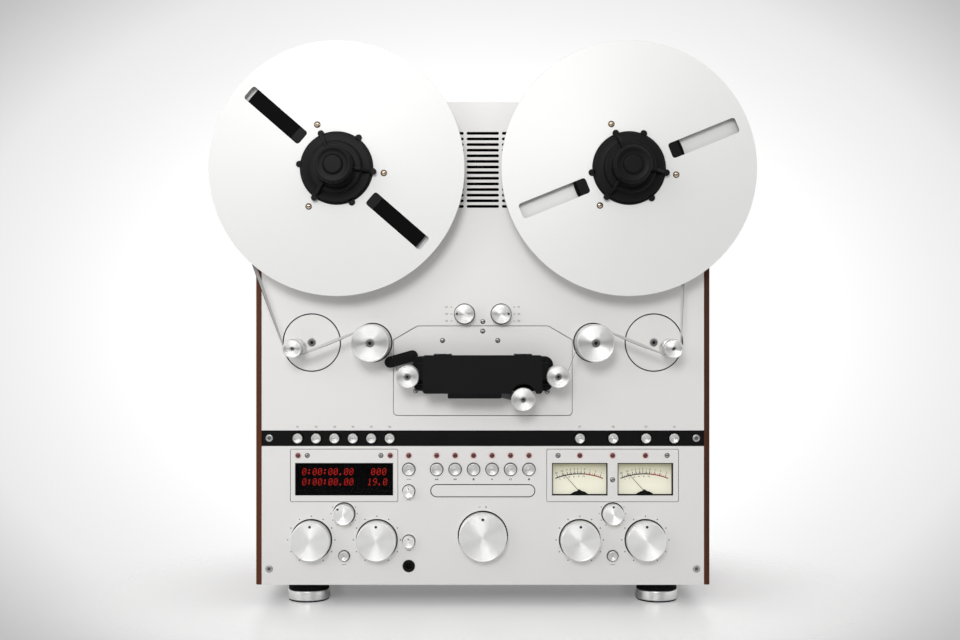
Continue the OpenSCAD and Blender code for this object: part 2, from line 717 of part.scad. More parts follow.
// Rollers
// A grooved roller: the rim, the groove at the tape's depth and the cap
module grooved(r, groove_r, z0, shaft, end) {
    turned([
        [0, end], [shaft, end], [shaft, z0], [r, z0], [r, groove_z0], [groove_r, groove_z0], [groove_r, groove_z1],
        [r, groove_z1], [r, roller_reach - knob_edge], [r - knob_edge, roller_reach], [0, roller_reach]
    ]);
}
module guide_roller(s) color(bright) on_front() at([s * guide_x, guide_y])
    grooved(guide_r, guide_groove_r, -knob_sink, guide_shaft_r, -panel_t - 4);
module head_roller(s) color(bright) on_front() at([s * head_roller_x, head_y]) {
    grooved(head_roller_r, head_groove_r, groove_z0 - 3, head_neck_r, gap);
    translate([0, 0, -panel_t]) cylinder(h = panel_t + gap + 0.1, r = shaft_r);
}
function tension_offset(s) = tension_arm * [-s * cos(tension_angle), sin(tension_angle)];
function tension_place(s) = [s * tension_x, guide_y] + tension_offset(s);
module tension_disc(s) color(silver) on_front() {
    at([s * tension_x, guide_y]) {
        translate([0, 0, -tension_t]) cylinder(h = tension_t, r = tension_r);
        translate([0, 0, -panel_t - 8]) cylinder(h = panel_t + 8 - tension_t + 0.1, r = tension_shaft_r);
        cylinder(h = screw_proud, r = frame_screw_r);
    }
    at(tension_place(s)) translate([0, 0, -0.1]) cylinder(h = groove_z1 + 0.1, r = shaft_r);
}
module tension_roller(s) color(bright) on_front() at(tension_place(s)) difference() {
    grooved(tension_roller_r, tension_groove_r, gap, tension_roller_r, gap);
    translate([0, 0, -1]) cylinder(h = groove_z1 + gap + 1, r = shaft_r + fit);
}
module pinch_arm() color(black) on_front() {
    arm_z = 11;
    arm_t = 6;
    arm_w = 9;
    pinch_place = [pinch_x, pinch_y];
    run = pinch_place - pinch_pivot;
    at(pinch_pivot) {
        translate([0, 0, -panel_t]) cylinder(h = panel_t + arm_z + 1, r = pinch_shaft_r);
        rotate(atan2(run[1], run[0])) translate([norm(run) / 2, 0, arm_z])
            linear_extrude(arm_t) pill(norm(run) + arm_w, arm_w);
    }
    at(pinch_place) translate([0, 0, arm_z + arm_t - 0.1]) cylinder(h = groove_z1 - arm_z - arm_t, r = shaft_r);
}
module pinch_roller() color(bright) on_front() at([pinch_x, pinch_y]) difference() {
    turned([
        [0, groove_z0 - 2], [pinch_rubber_r, groove_z0 - 2], [pinch_rubber_r, groove_z1 + 1], [pinch_r, groove_z1 + 1],
        [pinch_r, roller_reach - knob_edge], [pinch_r - knob_edge, roller_reach], [0, roller_reach]
    ]);
    translate([0, 0, groove_z0 - 3]) cylinder(h = groove_z1 - groove_z0 + 3 + gap, r = shaft_r + fit);
}
module capstan() color(steel) on_front() at([capstan_x, capstan_y])
    translate([0, 0, -panel_t - capstan_motor_l / 2])
        cylinder(h = panel_t + capstan_motor_l / 2 + groove_z1 + 1, r = capstan_r);

// Reels
// The reel's hole with its three drive notches
module reel_hole(nub_angle, grow) {
    circle(reel_bore_r - loose + grow);
    for (i = [0 : 2]) rotate(nub_angle + i * 120) translate([reel_bore_r - 4, -lug_w / 2 - grow])
        square([lug_r - reel_bore_r + 4 + grow, lug_w + 2 * grow]);
}
module reel_screw_places(screw_angle) {
    for (i = [0 : 2]) rotate(screw_angle + i * 120) translate([reel_screw_pcr, 0, 0]) children();
}
module reel(s, window_angle, screw_angle, nub_angle) on_front() at([s * reel_x, reel_y]) {
    screw_l = reel_gap - 2;
    color(bright) slab(reel_lift, reel_lift + flange_t) difference() {
        circle(reel_r);
        reel_hole(nub_angle, loose);
    }
    color(black) difference() {
        slab(reel_lift + flange_t, flange_front) difference() {
            circle(core_r);
            reel_hole(nub_angle, loose);
        }
        reel_screw_places(screw_angle) translate([0, 0, flange_front - screw_l - gap])
            cylinder(h = screw_l + gap + 1, r = screw_shank_r + loose);
    }
    color(bright) slab(flange_front, reel_front) difference() {
        circle(reel_r);
        reel_hole(nub_angle, loose);
        for (a = [window_angle, window_angle + 180]) rotate(a)
            rounded(window_r0, -window_w / 2, window_l, window_w, window_corner_r);
        reel_screw_places(screw_angle) circle(screw_shank_r + loose);
    }
    color(steel) reel_screw_places(screw_angle) {
        translate([0, 0, reel_front]) cylinder(h = 1, r = reel_screw_r);
        translate([0, 0, flange_front - screw_l]) cylinder(h = screw_l + flange_t + 0.1, r = screw_shank_r);
    }
}
module tape_pack(s, r) color(brown_tape) on_front() at([s * reel_x, reel_y])
    slab(tape_mid - tape_w / 2, tape_mid + tape_w / 2) difference() {
        circle(r);
        circle(core_r + loose);
    }
module adapter(s, nub_angle) color(black) on_front() at([s * reel_x, reel_y]) {
    hub_r = 12;
    difference() {
        union() {
            translate([0, 0, -panel_t - spindle_l])
                cylinder(h = panel_t + spindle_l + reel_lift - table_t + 0.1, r = spindle_r);
            translate([0, 0, gap]) cylinder(h = reel_lift - table_t, r = hub_r);
            translate([0, 0, reel_lift - table_t]) cylinder(h = table_t, r = table_r);
            slab(reel_lift - 0.1, adapter_front) reel_hole(nub_angle, 0);
        }
        translate([0, 0, reel_lift - gap]) cylinder(h = adapter_front - reel_lift + gap + 1, r = lock_stem_r + fit);
    }
}
module lock_knob(s, rib_angle) color(black) on_front() at([s * reel_x, reel_y]) {
    disc_r = reel_bore_r - 2;
    disc_t = 4;
    step_t = 10;
    rim_r = 10;
    difference() {
        turned([
            [0, reel_lift], [lock_stem_r, reel_lift], [lock_stem_r, lock_back], [disc_r, lock_back],
            [disc_r, lock_back + disc_t], [lock_step_r, lock_back + disc_t], [lock_step_r, lock_back + step_t],
            [lock_r, lock_back + step_t], [lock_r, front_reach - 4], [lock_r - 2, front_reach - 2], [0, front_reach - 2]
        ]);
        translate([0, 0, front_reach - 3]) cylinder(h = 2, r = lock_r - 4);
    }
    translate([0, 0, front_reach - 4]) cylinder(h = 4, r = rim_r);
    for (i = [0 : 2]) rotate(rib_angle + i * 120) {
        translate([disc_r - 3, -lug_w / 2, lock_back]) cube([lug_r - disc_r + 3, lug_w, disc_t]);
        translate([lock_r - 2, -1.5, lock_back + disc_t - 1]) cube([disc_r - lock_r + 1, 3, step_t + 4]);
    }
}
supply_rib_angle = 114;
supply_nub_angle = 54;
supply_window_angle = 139;
takeup_rib_angle = 112;
takeup_nub_angle = 67;
takeup_window_angle = 22;

// The tape's path: wheels in order, each with its place and radius,
// negative where the wheel lies to the left of the running tape
tape_wheels = [
    [[-reel_x, reel_y], -supply_pack_r], [tension_place(-1), -tension_groove_r],
    [[-guide_x, guide_y], guide_groove_r], [[-head_roller_x, head_y], -head_groove_r],
    [[head_roller_x, head_y], -head_groove_r], [[guide_x, guide_y], guide_groove_r],
    [tension_place(1), -tension_groove_r], [[reel_x, reel_y], -takeup_pack_r]
];
function turn(v, a) = [v[0] * cos(a) - v[1] * sin(a), v[0] * sin(a) + v[1] * cos(a)];
function side(w) = w[1] > 0 ? 1 : -1;
function run_radius(w) = w[1] + side(w) * (gap + tape_t / 2);
function run_angle(a, b) = let (d = b[0] - a[0])
    atan2(d[1], d[0]) + acos((run_radius(a) - run_radius(b)) / norm(d));
run_angles = [for (i = [0 : len(tape_wheels) - 2]) run_angle(tape_wheels[i], tape_wheels[i + 1])];
function sweep(a, b) = let (d = b - a) d > 180 ? d - 360 : d < -180 ? d + 360 : d;
arc_steps = 10;
// Points of one edge of the tape, off from the middle line by the given distance
function tape_edge(off) = [
    for (i = [0 : len(tape_wheels) - 1])
        let (
            w = tape_wheels[i],
            a0 = run_angles[max(i - 1, 0)],
            turned_by = sweep(a0, run_angles[min(i, len(run_angles) - 1)])
        )
        for (k = [0 : abs(turned_by) > 1 ? arc_steps : 0])
            w[0] + (run_radius(w) + off) * [cos(a0 + turned_by * k / arc_steps), sin(a0 + turned_by * k / arc_steps)]
];
function backwards(list) = [for (i = [len(list) - 1 : -1 : 0]) list[i]];
module recording_tape() color(brown_tape) on_front()
    slab(tape_mid - tape_w / 2, tape_mid + tape_w / 2)
        polygon(concat(tape_edge(tape_t / 2), backwards(tape_edge(-tape_t / 2))));

// Instruments
module bezel_outlines(grow) {
    for (b = [[left_group_x, display_bezel_w], [right_group_x, meter_bezel_w]])
        rounded(b[0] - b[1] / 2 - grow, bezel_y0 - grow, b[1] + 2 * grow, bezel_h + 2 * grow, 2);
}
// The windows and what lies behind them, grown by a margin
module pane_outline(x, w, grow) {
    translate([x - w / 2 - grow, pane_y0 - grow]) square([w + 2 * grow, pane_h + 2 * grow]);
}
instrument_wall = 1.2;
module instrument_outlines(grow) {
    pane_outline(left_group_x, display_pane_w, instrument_wall + grow);
    for (x = meter_x) pane_outline(x, meter_pane_w, instrument_wall + grow);
}
module instrument_bezels() color(silver) on_front() difference() {
    slab(-inlay_t, 0) bezel_outlines(0);
    slab(-inlay_t - 1, 1) {
        pane_outline(left_group_x, display_pane_w, 0);
        for (x = meter_x) pane_outline(x, meter_pane_w, 0);
    }
    for (p = bezel_lamps) at(p) drill(lamp_r + loose);
    for (p = bezel_screws) at(p) screw_hole(plate_screw_r);
}
module instrument_windows() color(glass) on_front() slab(-inlay_t, pane_t - inlay_t) {
    pane_outline(left_group_x, display_pane_w, -loose);
    for (x = meter_x) pane_outline(x, meter_pane_w, -loose);
}
module instruments() on_front() {
    shade_r = 9;
    color(black) slab(-inlay_t - instrument_d, -inlay_t) pane_outline(left_group_x, display_pane_w, instrument_wall);
    for (x = meter_x) color(cream) {
        difference() {
            slab(-inlay_t - instrument_d, -inlay_t) pane_outline(x, meter_pane_w, instrument_wall);
            slab(-dial_z, 0) pane_outline(x, meter_pane_w, -meter_rim);
            translate([x, pivot_y, -dial_z - 4]) cylinder(h = 5, r = needle_pin_r + fit);
        }
        translate([x, pane_y0 + meter_rim, -inlay_t - 3.2]) intersection() {
            cylinder(h = 2, r = shade_r);
            translate([-shade_r, -0.1, 0]) cube([2 * shade_r, shade_r + 1, 2]);
        }
    }
}
needle_pin_r = 1;
module meter_needle(x) color(black) on_front() at([x, pivot_y]) {
    needle_z = gap - dial_z;
    translate([0, 0, -dial_z - 3]) cylinder(h = 3 + gap + 0.1, r = needle_pin_r);
    translate([0, 0, needle_z]) cylinder(h = 1.5, r = 2);
    rotate(90 + needle_rest) translate([0, -0.4, needle_z + 0.5]) cube([needle_l, 0.8, 0.5]);
}
module indicator_lamps() color(lamp_red) on_front()
    for (p = concat(panel_lamps, bezel_lamps)) at(p)
        translate([0, 0, -panel_t]) cylinder(h = panel_t + 0.8, r = lamp_r);

// Controls
module deck_knob(s) color(bright) on_front() at([s * selector_x, selector_y])
    knob(selector_r, mid_knob_h, s < 0 ? 180 : 0);
module large_knob(x) color(bright) on_front() at([x, knob_row_y]) knob(knob_r, knob_h, 90);
module blend_knob(x, dot_angle) color(bright) on_front() at([x, mid_knob_y])
    knob(mid_knob_r, mid_knob_h, dot_angle);
module trim_knob(y) color(bright) on_front() at([column_x, y]) knob(trim_r, trim_h, 90);
module jog_knob() color(bright) on_front() at([0, jog_y]) knob(jog_r, knob_h, 90);
module transport_key(i) color(bright) on_front() at([transport_x[i - 1], key_row_y]) key(key_r);
module function_keys() color(bright) on_front() {
    for (p = strip_keys) at(p) key(strip_key_r);
    for (p = small_keys) at(p) key(small_key_r);
    at(column_key) key(key_r);
}

// Inner units
module drive_motors() color(steel) on_front() {
    for (s = [-1, 1]) at([s * reel_x, reel_y]) difference() {
        translate([0, 0, -panel_t - motor_l]) cylinder(h = motor_l, r = motor_r);
        translate([0, 0, -panel_t - spindle_l - gap]) cylinder(h = spindle_l + 1, r = spindle_r + fit);
    }
    at([capstan_x, capstan_y]) difference() {
        translate([0, 0, -panel_t - capstan_motor_l]) cylinder(h = capstan_motor_l, r = capstan_motor_r);
        translate([0, 0, -panel_t - capstan_motor_l / 2 - gap]) cylinder(h = capstan_motor_l, r = capstan_r + fit);
    }
}
// A board behind a row of keys, with a guide hole for each stem and posts up to the plate
module key_board(x0, x1, y, h, keys) {
    post_r = 2;
    difference() {
        translate([x0, y - h / 2, -board_z - board_t]) cube([x1 - x0, h, board_t]);
        for (p = keys) at(p) translate([0, 0, -board_z - board_t - 1]) cylinder(h = board_t + 2, r = stem_r + fit);
    }
    for (x = [x0 + post_r, x1 - post_r]) translate([x, y, -board_z - 0.1])
        cylinder(h = board_z - panel_t + 0.1, r = post_r);
}
module electronics() on_front() {
    coil_r = 38;
    coil_w = 40;
    coil_h = 50;
    coil_x = -120;
    coil_shift = 20;
    key_board_h = 12;
    strip_board_h = 10;
    board_edge = 12;
    main_rise = 10;
    main_y = inner_y0 + main_rise;
    main_back = 40;
    main_z = main_back - case_d;
    main_x = 20;
    main_room = 22;
    main_w = panel_w / 2 - rail_w - main_x - main_room;
    main_l = case_d / 2;
    post_inset = 5;
    color(board_green) {
        key_board(column_x - board_edge, transport_x[5] + board_edge, key_row_y, key_board_h,
            concat([column_key], [for (x = transport_x) [x, key_row_y]]));
        key_board(strip_left_x[0] - board_edge, strip_right_x[3] + board_edge, strip_y, strip_board_h, strip_keys);
        for (p = small_keys) key_board(p[0] - board_edge, p[0] + board_edge, p[1], key_board_h, [p]);
        translate([main_x, main_y, main_z]) cube([main_w, board_t, main_l]);
        for (x = [post_inset, main_w - post_inset], z = [post_inset, main_l - post_inset])
            translate([main_x + x, inner_y0, main_z + z]) rotate([-90, 0, 0]) cylinder(h = main_rise + 0.1, r = 3);
    }
    color(steel) translate([coil_x, inner_y0, -case_d / 2 - coil_shift]) rotate([-90, 0, 0]) rotate_extrude()
        translate([coil_r - coil_w / 2, 0]) square([coil_w, coil_h]);
}

// Sockets
module sockets() color(black) on_front() {
    at([column_x, phones_y]) difference() {
        union() {
            translate([0, 0, -panel_t - phones_bore_l]) cylinder(h = phones_bore_l, r = phones_r + phones_lip);
            translate([0, 0, -panel_t - 1]) cylinder(h = panel_t + 2, r = phones_r);
        }
        translate([0, 0, 1 - phones_bore_l]) cylinder(h = phones_bore_l + 1, r = phones_bore_r);
    }
    for (x = line_x) translate([x, line_y, -case_d]) difference() {
        union() {
            translate([0, 0, -line_l]) cylinder(h = line_l + 0.1, r = line_r);
            cylinder(h = sheet_t + 0.1, r = line_r + line_step);
            translate([0, 0, sheet_t]) cylinder(h = 8, r = line_r + 2 * line_step);
        }
        translate([0, 0, -line_l - 1]) cylinder(h = line_l, r = 1.6);
    }
    translate([inlet_x, inlet_y, -case_d]) difference() {
        union() {
            translate([-inlet_w / 2 - inlet_wall, -inlet_h / 2 - inlet_wall, -1])
                cube([inlet_w + 2 * inlet_wall, inlet_h + 2 * inlet_wall, inlet_d + 4]);
            translate([-inlet_w / 2 - 8, -inlet_h / 2 - 6, -2]) cube([inlet_w + 16, inlet_h + 12, 2]);
        }
        translate([-inlet_w / 2, -inlet_h / 2, -3]) cube([inlet_w, inlet_h, inlet_d + 3]);
    }
}

chassis_frame();
cabinet_shell();
side_panels();
deck_plate();
control_panel();
button_strip();
feet();
head_plate();
head_block();
tape_heads();
instrument_bezels();
instrument_windows();
instruments();
indicator_lamps();
plate_screws();
drive_motors();
electronics();
sockets();
recording_tape();
reel(-1, supply_window_angle, supply_rib_angle, supply_nub_angle);  // supply_reel
tape_pack(-1, supply_pack_r);  // supply_tape_pack
adapter(-1, supply_nub_angle);  // supply_adapter
lock_knob(-1, supply_rib_angle);  // supply_lock_knob
reel(1, takeup_window_angle, takeup_rib_angle, takeup_nub_angle);  // takeup_reel
tape_pack(1, takeup_pack_r);  // takeup_tape_pack
adapter(1, takeup_nub_angle);  // takeup_adapter
lock_knob(1, takeup_rib_angle);  // takeup_lock_knob
tension_disc(-1);  // left_tension_disc
tension_roller(-1);  // left_tension_roller
tension_disc(1);  // right_tension_disc
tension_roller(1);  // right_tension_roller
guide_roller(-1);  // left_guide_roller
guide_roller(1);  // right_guide_roller
head_roller(-1);  // left_head_roller
head_roller(1);  // right_head_roller
pinch_arm();
pinch_roller();
capstan();
head_cover();
cue_lever();
meter_needle(meter_x[0]);  // left_meter_needle
meter_needle(meter_x[1]);  // right_meter_needle
deck_knob(-1);  // left_selector_knob
deck_knob(1);  // right_selector_knob
jog_knob();
large_knob(left_group_x - pair_offset);  // left_output_knob
large_knob(left_group_x + pair_offset);  // right_output_knob
large_knob(right_group_x - pair_offset);  // left_record_knob
large_knob(right_group_x + pair_offset);  // right_record_knob
blend_knob(left_group_x, 135);  // output_blend_knob
blend_knob(right_group_x, 90);  // record_blend_knob
trim_knob(column_upper_y);  // upper_trim_knob
trim_knob(column_lower_y);  // lower_trim_knob
transport_key(1);  // transport_key_1
transport_key(2);  // transport_key_2
transport_key(3);  // transport_key_3
transport_key(4);  // transport_key_4
transport_key(5);  // transport_key_5
transport_key(6);  // transport_key_6
function_keys();
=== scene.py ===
"""An upright open-reel tape recorder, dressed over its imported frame."""

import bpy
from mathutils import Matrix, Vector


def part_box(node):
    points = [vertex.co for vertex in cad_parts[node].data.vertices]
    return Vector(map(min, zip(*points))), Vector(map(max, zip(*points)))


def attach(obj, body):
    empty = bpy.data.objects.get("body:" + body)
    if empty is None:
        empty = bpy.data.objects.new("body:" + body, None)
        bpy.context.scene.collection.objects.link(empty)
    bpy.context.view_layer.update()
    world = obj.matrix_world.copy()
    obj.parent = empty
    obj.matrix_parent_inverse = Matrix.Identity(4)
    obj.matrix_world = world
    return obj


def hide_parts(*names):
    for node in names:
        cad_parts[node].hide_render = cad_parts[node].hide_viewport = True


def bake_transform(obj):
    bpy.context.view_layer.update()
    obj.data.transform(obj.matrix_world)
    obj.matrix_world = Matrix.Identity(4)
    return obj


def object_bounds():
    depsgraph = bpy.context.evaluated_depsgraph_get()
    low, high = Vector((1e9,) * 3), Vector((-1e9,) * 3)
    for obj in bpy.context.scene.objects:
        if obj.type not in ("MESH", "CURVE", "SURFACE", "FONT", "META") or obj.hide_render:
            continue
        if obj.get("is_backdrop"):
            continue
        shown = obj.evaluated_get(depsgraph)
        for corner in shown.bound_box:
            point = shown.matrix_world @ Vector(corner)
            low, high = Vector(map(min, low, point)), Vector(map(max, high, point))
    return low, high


bl_info = {
    "name": "Open-reel tape recorder",
    "version": (1, 0, 0),
    "blender": (4, 5, 0),
    "location": "View3D > Sidebar > Recorder",
    "description": "Models the visible pieces of an upright tape recorder over its frame",
    "category": "Object",
}

import math

import bpy
from bpy.props import FloatProperty, FloatVectorProperty, PointerProperty
from mathutils import Matrix, Vector

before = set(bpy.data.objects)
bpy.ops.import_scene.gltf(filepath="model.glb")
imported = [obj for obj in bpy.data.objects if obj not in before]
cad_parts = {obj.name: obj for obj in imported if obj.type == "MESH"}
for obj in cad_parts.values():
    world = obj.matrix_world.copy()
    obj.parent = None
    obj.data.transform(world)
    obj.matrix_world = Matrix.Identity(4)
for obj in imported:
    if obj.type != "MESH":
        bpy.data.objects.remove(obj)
CAD_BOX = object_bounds()

# Metres in a millimetre, how near two points count as one, and the depth of the deck's face
MM = 0.001
CLOSE = 0.00001
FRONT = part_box("deck_plate")[0].y

SIGNS = (-1, 1)
SIDES = (("left", -1), ("right", 1))
THIRDS = (0, 120, 240)

# Places on the front in millimetres: right of the middle, and above the floor
PANEL_X = 236.0
DECK = (186.8, 537.0)
STRIP = (170.4, 186.4)
CONTROLS = (22.0, 170.0)
REEL = (152.5, 463.0)
TENSION = (182.5, 280.5)
TENSION_ROLLER = (198.287, 274.754)
GUIDE = (117.5, 280.5)
HEAD_ROLLER = (78.5, 245.5)
PINCH = (42.0, 221.9)
PINCH_PIVOT = (16.0, 227.9)
CAPSTAN = (42.4, 241.5)
SELECTOR = (19.5, 311.0)
LEVER = (-75.0, 266.5)
HINGE_X = 42.0
HINGE_TOP = 269.0
VENT_LOW = 425.8
LEFT_GROUP = -148.0
RIGHT_GROUP = 138.5
COLUMN = -79.0
JOG = (0.0, 74.3)
PHONES = (COLUMN, 42.0)
LINE_ROW = 122.4
KNOB_ROW = 70.0
BLEND_ROW = 98.0
TRIM_ROWS = (122.2, 68.6)
SMALL_KEY_ROW = 52.8
KEY_ROW = 145.2
SIGN_ROW = 134.6
LAMP_ROW = 160.0
STRIP_ROW = 178.4
BEZEL = (110.9, 166.5)
PANE = (117.3, 152.0)
NEEDLE_ROW = 120.8
SOCKET_ROW = 82.0
SOCKET_X = (-150, -120, -60, -30)
INLET_X = 170.0

# Lengths in millimetres: between rows and pieces, and of thin things
PAIR = 35.0
VENT_PITCH, VENT_COUNT = 6.0, 14
BEZEL_UP, BEZEL_HIGH = sum(BEZEL) / 2, BEZEL[1] - BEZEL[0]
PANE_UP, PANE_HIGH = sum(PANE) / 2, PANE[1] - PANE[0]
TAPE_HALF, TAPE_THICK, TAPE_GAP = 3.15, 0.12, 0.2
INK = 0.025

# Levels in millimetres, out from the deck's face; the pairs are the reach of a cutter
REAR = -220.0
PLATE_BACK = -6.0
CARD_FACE = -9.45
DIAL_INK = -9.4
FRONT_INK = 0.03
GROOVE = (22.85, 31.55)
TAPE_LEVEL = 27.2
CAP_FACE = 38.0
THROUGH = (-8.0, 2.0)
THROUGH_THIN = (-4.0, 2.0)
POCKET = (-2.9, 2.0)
SEAT = (-1.3, 2.0)
THROUGH_REAR = (-224.0, -214.0)
THROUGH_HUB = (15.0, 40.0)

TRANSPORT_X = [(i - 2.5) * 19.7 for i in range(6)]
STRIP_X = [-197.4 + i * 19.62 for i in range(6)] + [103.5, 139.0, 174.0, 204.0]
METERS = (("left", RIGHT_GROUP - PAIR), ("right", RIGHT_GROUP + PAIR))
BEZELS = ((LEFT_GROUP, 114.2), (RIGHT_GROUP, 140.2))
PANES = ((LEFT_GROUP, 104.6), *((x, 59.3) for _, x in METERS))
FRAME_SCREWS = [(s * 228.0, up, out) for s in SIGNS for up, out in ((STRIP_ROW, -1.0), (39.0, 0.0))]
HEAD_SCREWS = [(-43.0, 282.7), (16.0, 282.7), (0.0, 292.7), (-71.6, 229.0), (68.7, 228.5)]
DECK_SCREWS = [(0.0, 302.8)]
BEZEL_SCREWS = [(x, LAMP_ROW) for x in (-187.3, -108.7, 80.3, 196.7)] + [(RIGHT_GROUP, 134.1)]
PANEL_LAMPS = [(x, LAMP_ROW) for x in [COLUMN] + TRANSPORT_X]
BEZEL_LAMPS = [(LEFT_GROUP + shift, LAMP_ROW) for shift in (-49.2, 49.2)]
BEZEL_LAMPS += [(RIGHT_GROUP + shift, LAMP_ROW) for shift in (-PAIR, 0, PAIR)]
LARGE_KNOBS = {
    "left_output_knob": LEFT_GROUP - PAIR,
    "right_output_knob": LEFT_GROUP + PAIR,
    "left_record_knob": RIGHT_GROUP - PAIR,
    "right_record_knob": RIGHT_GROUP + PAIR,
}

# The angles of a reel's windows, screws and drive lugs, and the radius of its tape
REELS = {
    "supply": dict(side=-1, window=139.0, screw=114.0, nub=54.0, pack=116.0),
    "takeup": dict(side=1, window=22.0, screw=112.0, nub=67.0, pack=60.0),
}
ROLLERS = {
    "tension": dict(place=TENSION_ROLLER, radius=10.0, groove=8.6, back=0.4, screw=1.9, angle=80),
    "guide": dict(place=GUIDE, radius=20.0, groove=16.0, back=-1.2, screw=4.2, angle=100),
    "head": dict(place=HEAD_ROLLER, radius=12.0, groove=8.0, back=19.85, screw=3.2, angle=20, neck=7.0),
}


def shade(red, green, blue):
    """A colour as a screen shows it, in 0 to 255, as linear light."""
    screen = [c / 255 for c in (red, green, blue)]
    return tuple(c / 12.92 if c <= 0.04045 else ((c + 0.055) / 1.055) ** 2.4 for c in screen)


def colour_setting(label, what, default):
    """A colour that a user may change."""
    return FloatVectorProperty(
        name=label, description=what, subtype="COLOR", size=3, min=0, max=1, default=default
    )


def length_setting(label, what, default):
    """A length in metres that a user may change."""
    return FloatProperty(
        name=label, description=what, subtype="DISTANCE", unit="LENGTH", min=0, default=default
    )


class RecorderColours(bpy.types.PropertyGroup):
    """Colours of the recorder's finishes."""

    plate: colour_setting("Front plates", "Brushed plates of the front", shade(238, 237, 235))
    turned: colour_setting("Turned metal", "Knobs, keys and rollers", shade(246, 246, 244))
    reel: colour_setting("Reels", "Flanges of the reels", shade(240, 240, 238))
    black: colour_setting("Black parts", "Hubs, head cover and key strip", shade(12, 12, 13))
    walnut: colour_setting("Side panels", "Wood of the side panels", shade(92, 45, 17))
    lamp: colour_setting("Lamps", "Red lenses of the lamps", shade(92, 16, 18))
    digits: colour_setting("Digits", "Lit dots of the display", (1.0, 0.03, 0.02))
    # The dials' colour also drives their painted glow and painted shade
    dial: colour_setting("Dials", "Lit card of the meters", shade(250, 247, 226))
    ink: colour_setting("Marks", "Printed marks on the front", shade(92, 91, 90))


class RecorderSizes(bpy.types.PropertyGroup):
    """Sizes of the recorder's small work, which the frame leaves free, and the strength of its light."""

    plate_edge: length_setting("Plate edges", "Rounding of the plates' edges", 0.00015)
    knob_edge: length_setting("Knob edges", "Rounding of turned edges", 0.0003)
    mark_dot: length_setting("Mark dots", "Radius of the dots round the knobs", 0.0007)
    brush: FloatProperty(
        name="Brushing", description="Depth of the turned grooves", min=0, max=2, default=1.0
    )
    key_light: FloatProperty(
        name="Key light", description="Power of the key light", unit="POWER", min=0, default=19.0
    )
    room_light: FloatProperty(
        name="Room light", description="Strength of the even light", min=0, default=0.45
    )


def colour_of(name):
    """One of the colours that a user may change."""
    return tuple(getattr(bpy.context.scene.recorder_colours, name))


def sizes():
    """The sizes and lights that a user may change."""
    return bpy.context.scene.recorder_sizes


class Value:
    """A shader socket that takes part in plain sums."""

    def __init__(self, tree, socket):
        self.tree = tree
        self.socket = socket

    def also(self, out):
        """Another output of the same node."""
        return Value(self.tree, self.socket.node.outputs[out])

    def sum(self, operation, first, second=None):
        """A Math node on one or two values."""
        node = self.tree.nodes.new("ShaderNodeMath")
        node.operation = operation
        for socket, value in zip(node.inputs, (first, second)):
            join_socket(self.tree, socket, value)
        return Value(self.tree, node.outputs[0])

    def __add__(self, other):
        return self.sum("ADD", self, other)

    __radd__ = __add__

    def __sub__(self, other):
        return self.sum("SUBTRACT", self, other)

    def __rsub__(self, other):
        return self.sum("SUBTRACT", other, self)

    def __mul__(self, other):
        return self.sum("MULTIPLY", self, other)

    __rmul__ = __mul__

    def __truediv__(self, other):
        return self.sum("DIVIDE", self, other)

    def __rtruediv__(self, other):
        return self.sum("DIVIDE", other, self)

    def __pow__(self, other):
        return self.sum("POWER", self, other)

    def __rpow__(self, other):
        return self.sum("POWER", other, self)


def join_socket(tree, socket, value):
    """Links a value to a socket, or sets it there."""
    if isinstance(value, Value):
        tree.links.new(value.socket, socket)
    elif value is not None:
        socket.default_value = value


class Pattern:
    """A node tree, and the shader that its patterns feed."""

    def __init__(self, tree, shader):
        self.tree = tree
        self.shader = tree.nodes[shader]

    def node(self, kind, settings=None, sockets=None, out=0):
        """Any node: its type, its settings, and the values or links of its sockets."""
        node = self.tree.nodes.new("ShaderNode" + kind)
        for name, value in (settings or {}).items():
            if name == "stops":
                ramp = node.color_ramp.elements
                while len(ramp) < len(value):
                    ramp.new(0.5)
                for element, (place, colour) in zip(ramp, value):
                    element.position = place
                    element.color = (*colour, 1)
            else:
                setattr(node, name, value)
        for name, value in (sockets or {}).items():
            join_socket(self.tree, node.inputs[name], value)
        return Value(self.tree, node.outputs[out])

    def feed(self, **sockets):
        """Links or sets the shader's sockets, named with _ for a blank."""
        for socket, value in sockets.items():
            join_socket(self.tree, self.shader.inputs[socket.replace("_", " ")], value)

    def coords(self, scale=(1, 1, 1), place=(0, 0, 0)):
        """The piece's own coordinates in metres, stretched and shifted."""
        own = self.node("TexCoord", out="Object")
        return self.node("Mapping", sockets={"Vector": own, "Scale": scale, "Location": place})

    def length(self, vector):
        """The length of a vector."""
        return self.node("VectorMath", {"operation": "LENGTH"}, {0: vector}, out="Value")

    def radius(self):
        """How far a point of a turned piece lies from its axis, in metres."""
        return self.length(self.node("UVMap", {"uv_map": "turning"}))

    def noise(self, vector, scale, detail):
        """Soft noise in all directions."""
        sockets = {"Vector": vector, "Scale": scale, "Detail": detail, "Roughness": 0.55}
        return self.node("TexNoise", sockets=sockets)

    def noise_along(self, track, detail, rough):
        """Noise that changes along one value only."""
        sockets = {"W": track, "Scale": 1.0, "Detail": detail, "Roughness": rough}
        return self.node("TexNoise", {"noise_dimensions": "1D"}, sockets)

    def sine(self, track):
        """A wave along a value, from -1 to 1."""
        return self.node("Math", {"operation": "SINE"}, {0: track})

    def ramp(self, share, *stops):
        """A colour that runs through several stops."""
        return self.node("ValToRGB", {"stops": stops}, {0: share})

    def blend(self, share, first, second):
        """A colour between two others."""
        pair = [(*c, 1) if isinstance(c, tuple) else c for c in (first, second)]
        return self.node("Mix", {"data_type": "RGBA"}, {0: share, 6: pair[0], 7: pair[1]}, out=2)

    def relief(self, height, depth):
        """A bump of a real depth in millimetres."""
        self.feed(Normal=self.node("Bump", sockets={"Height": height, "Distance": depth * MM}))


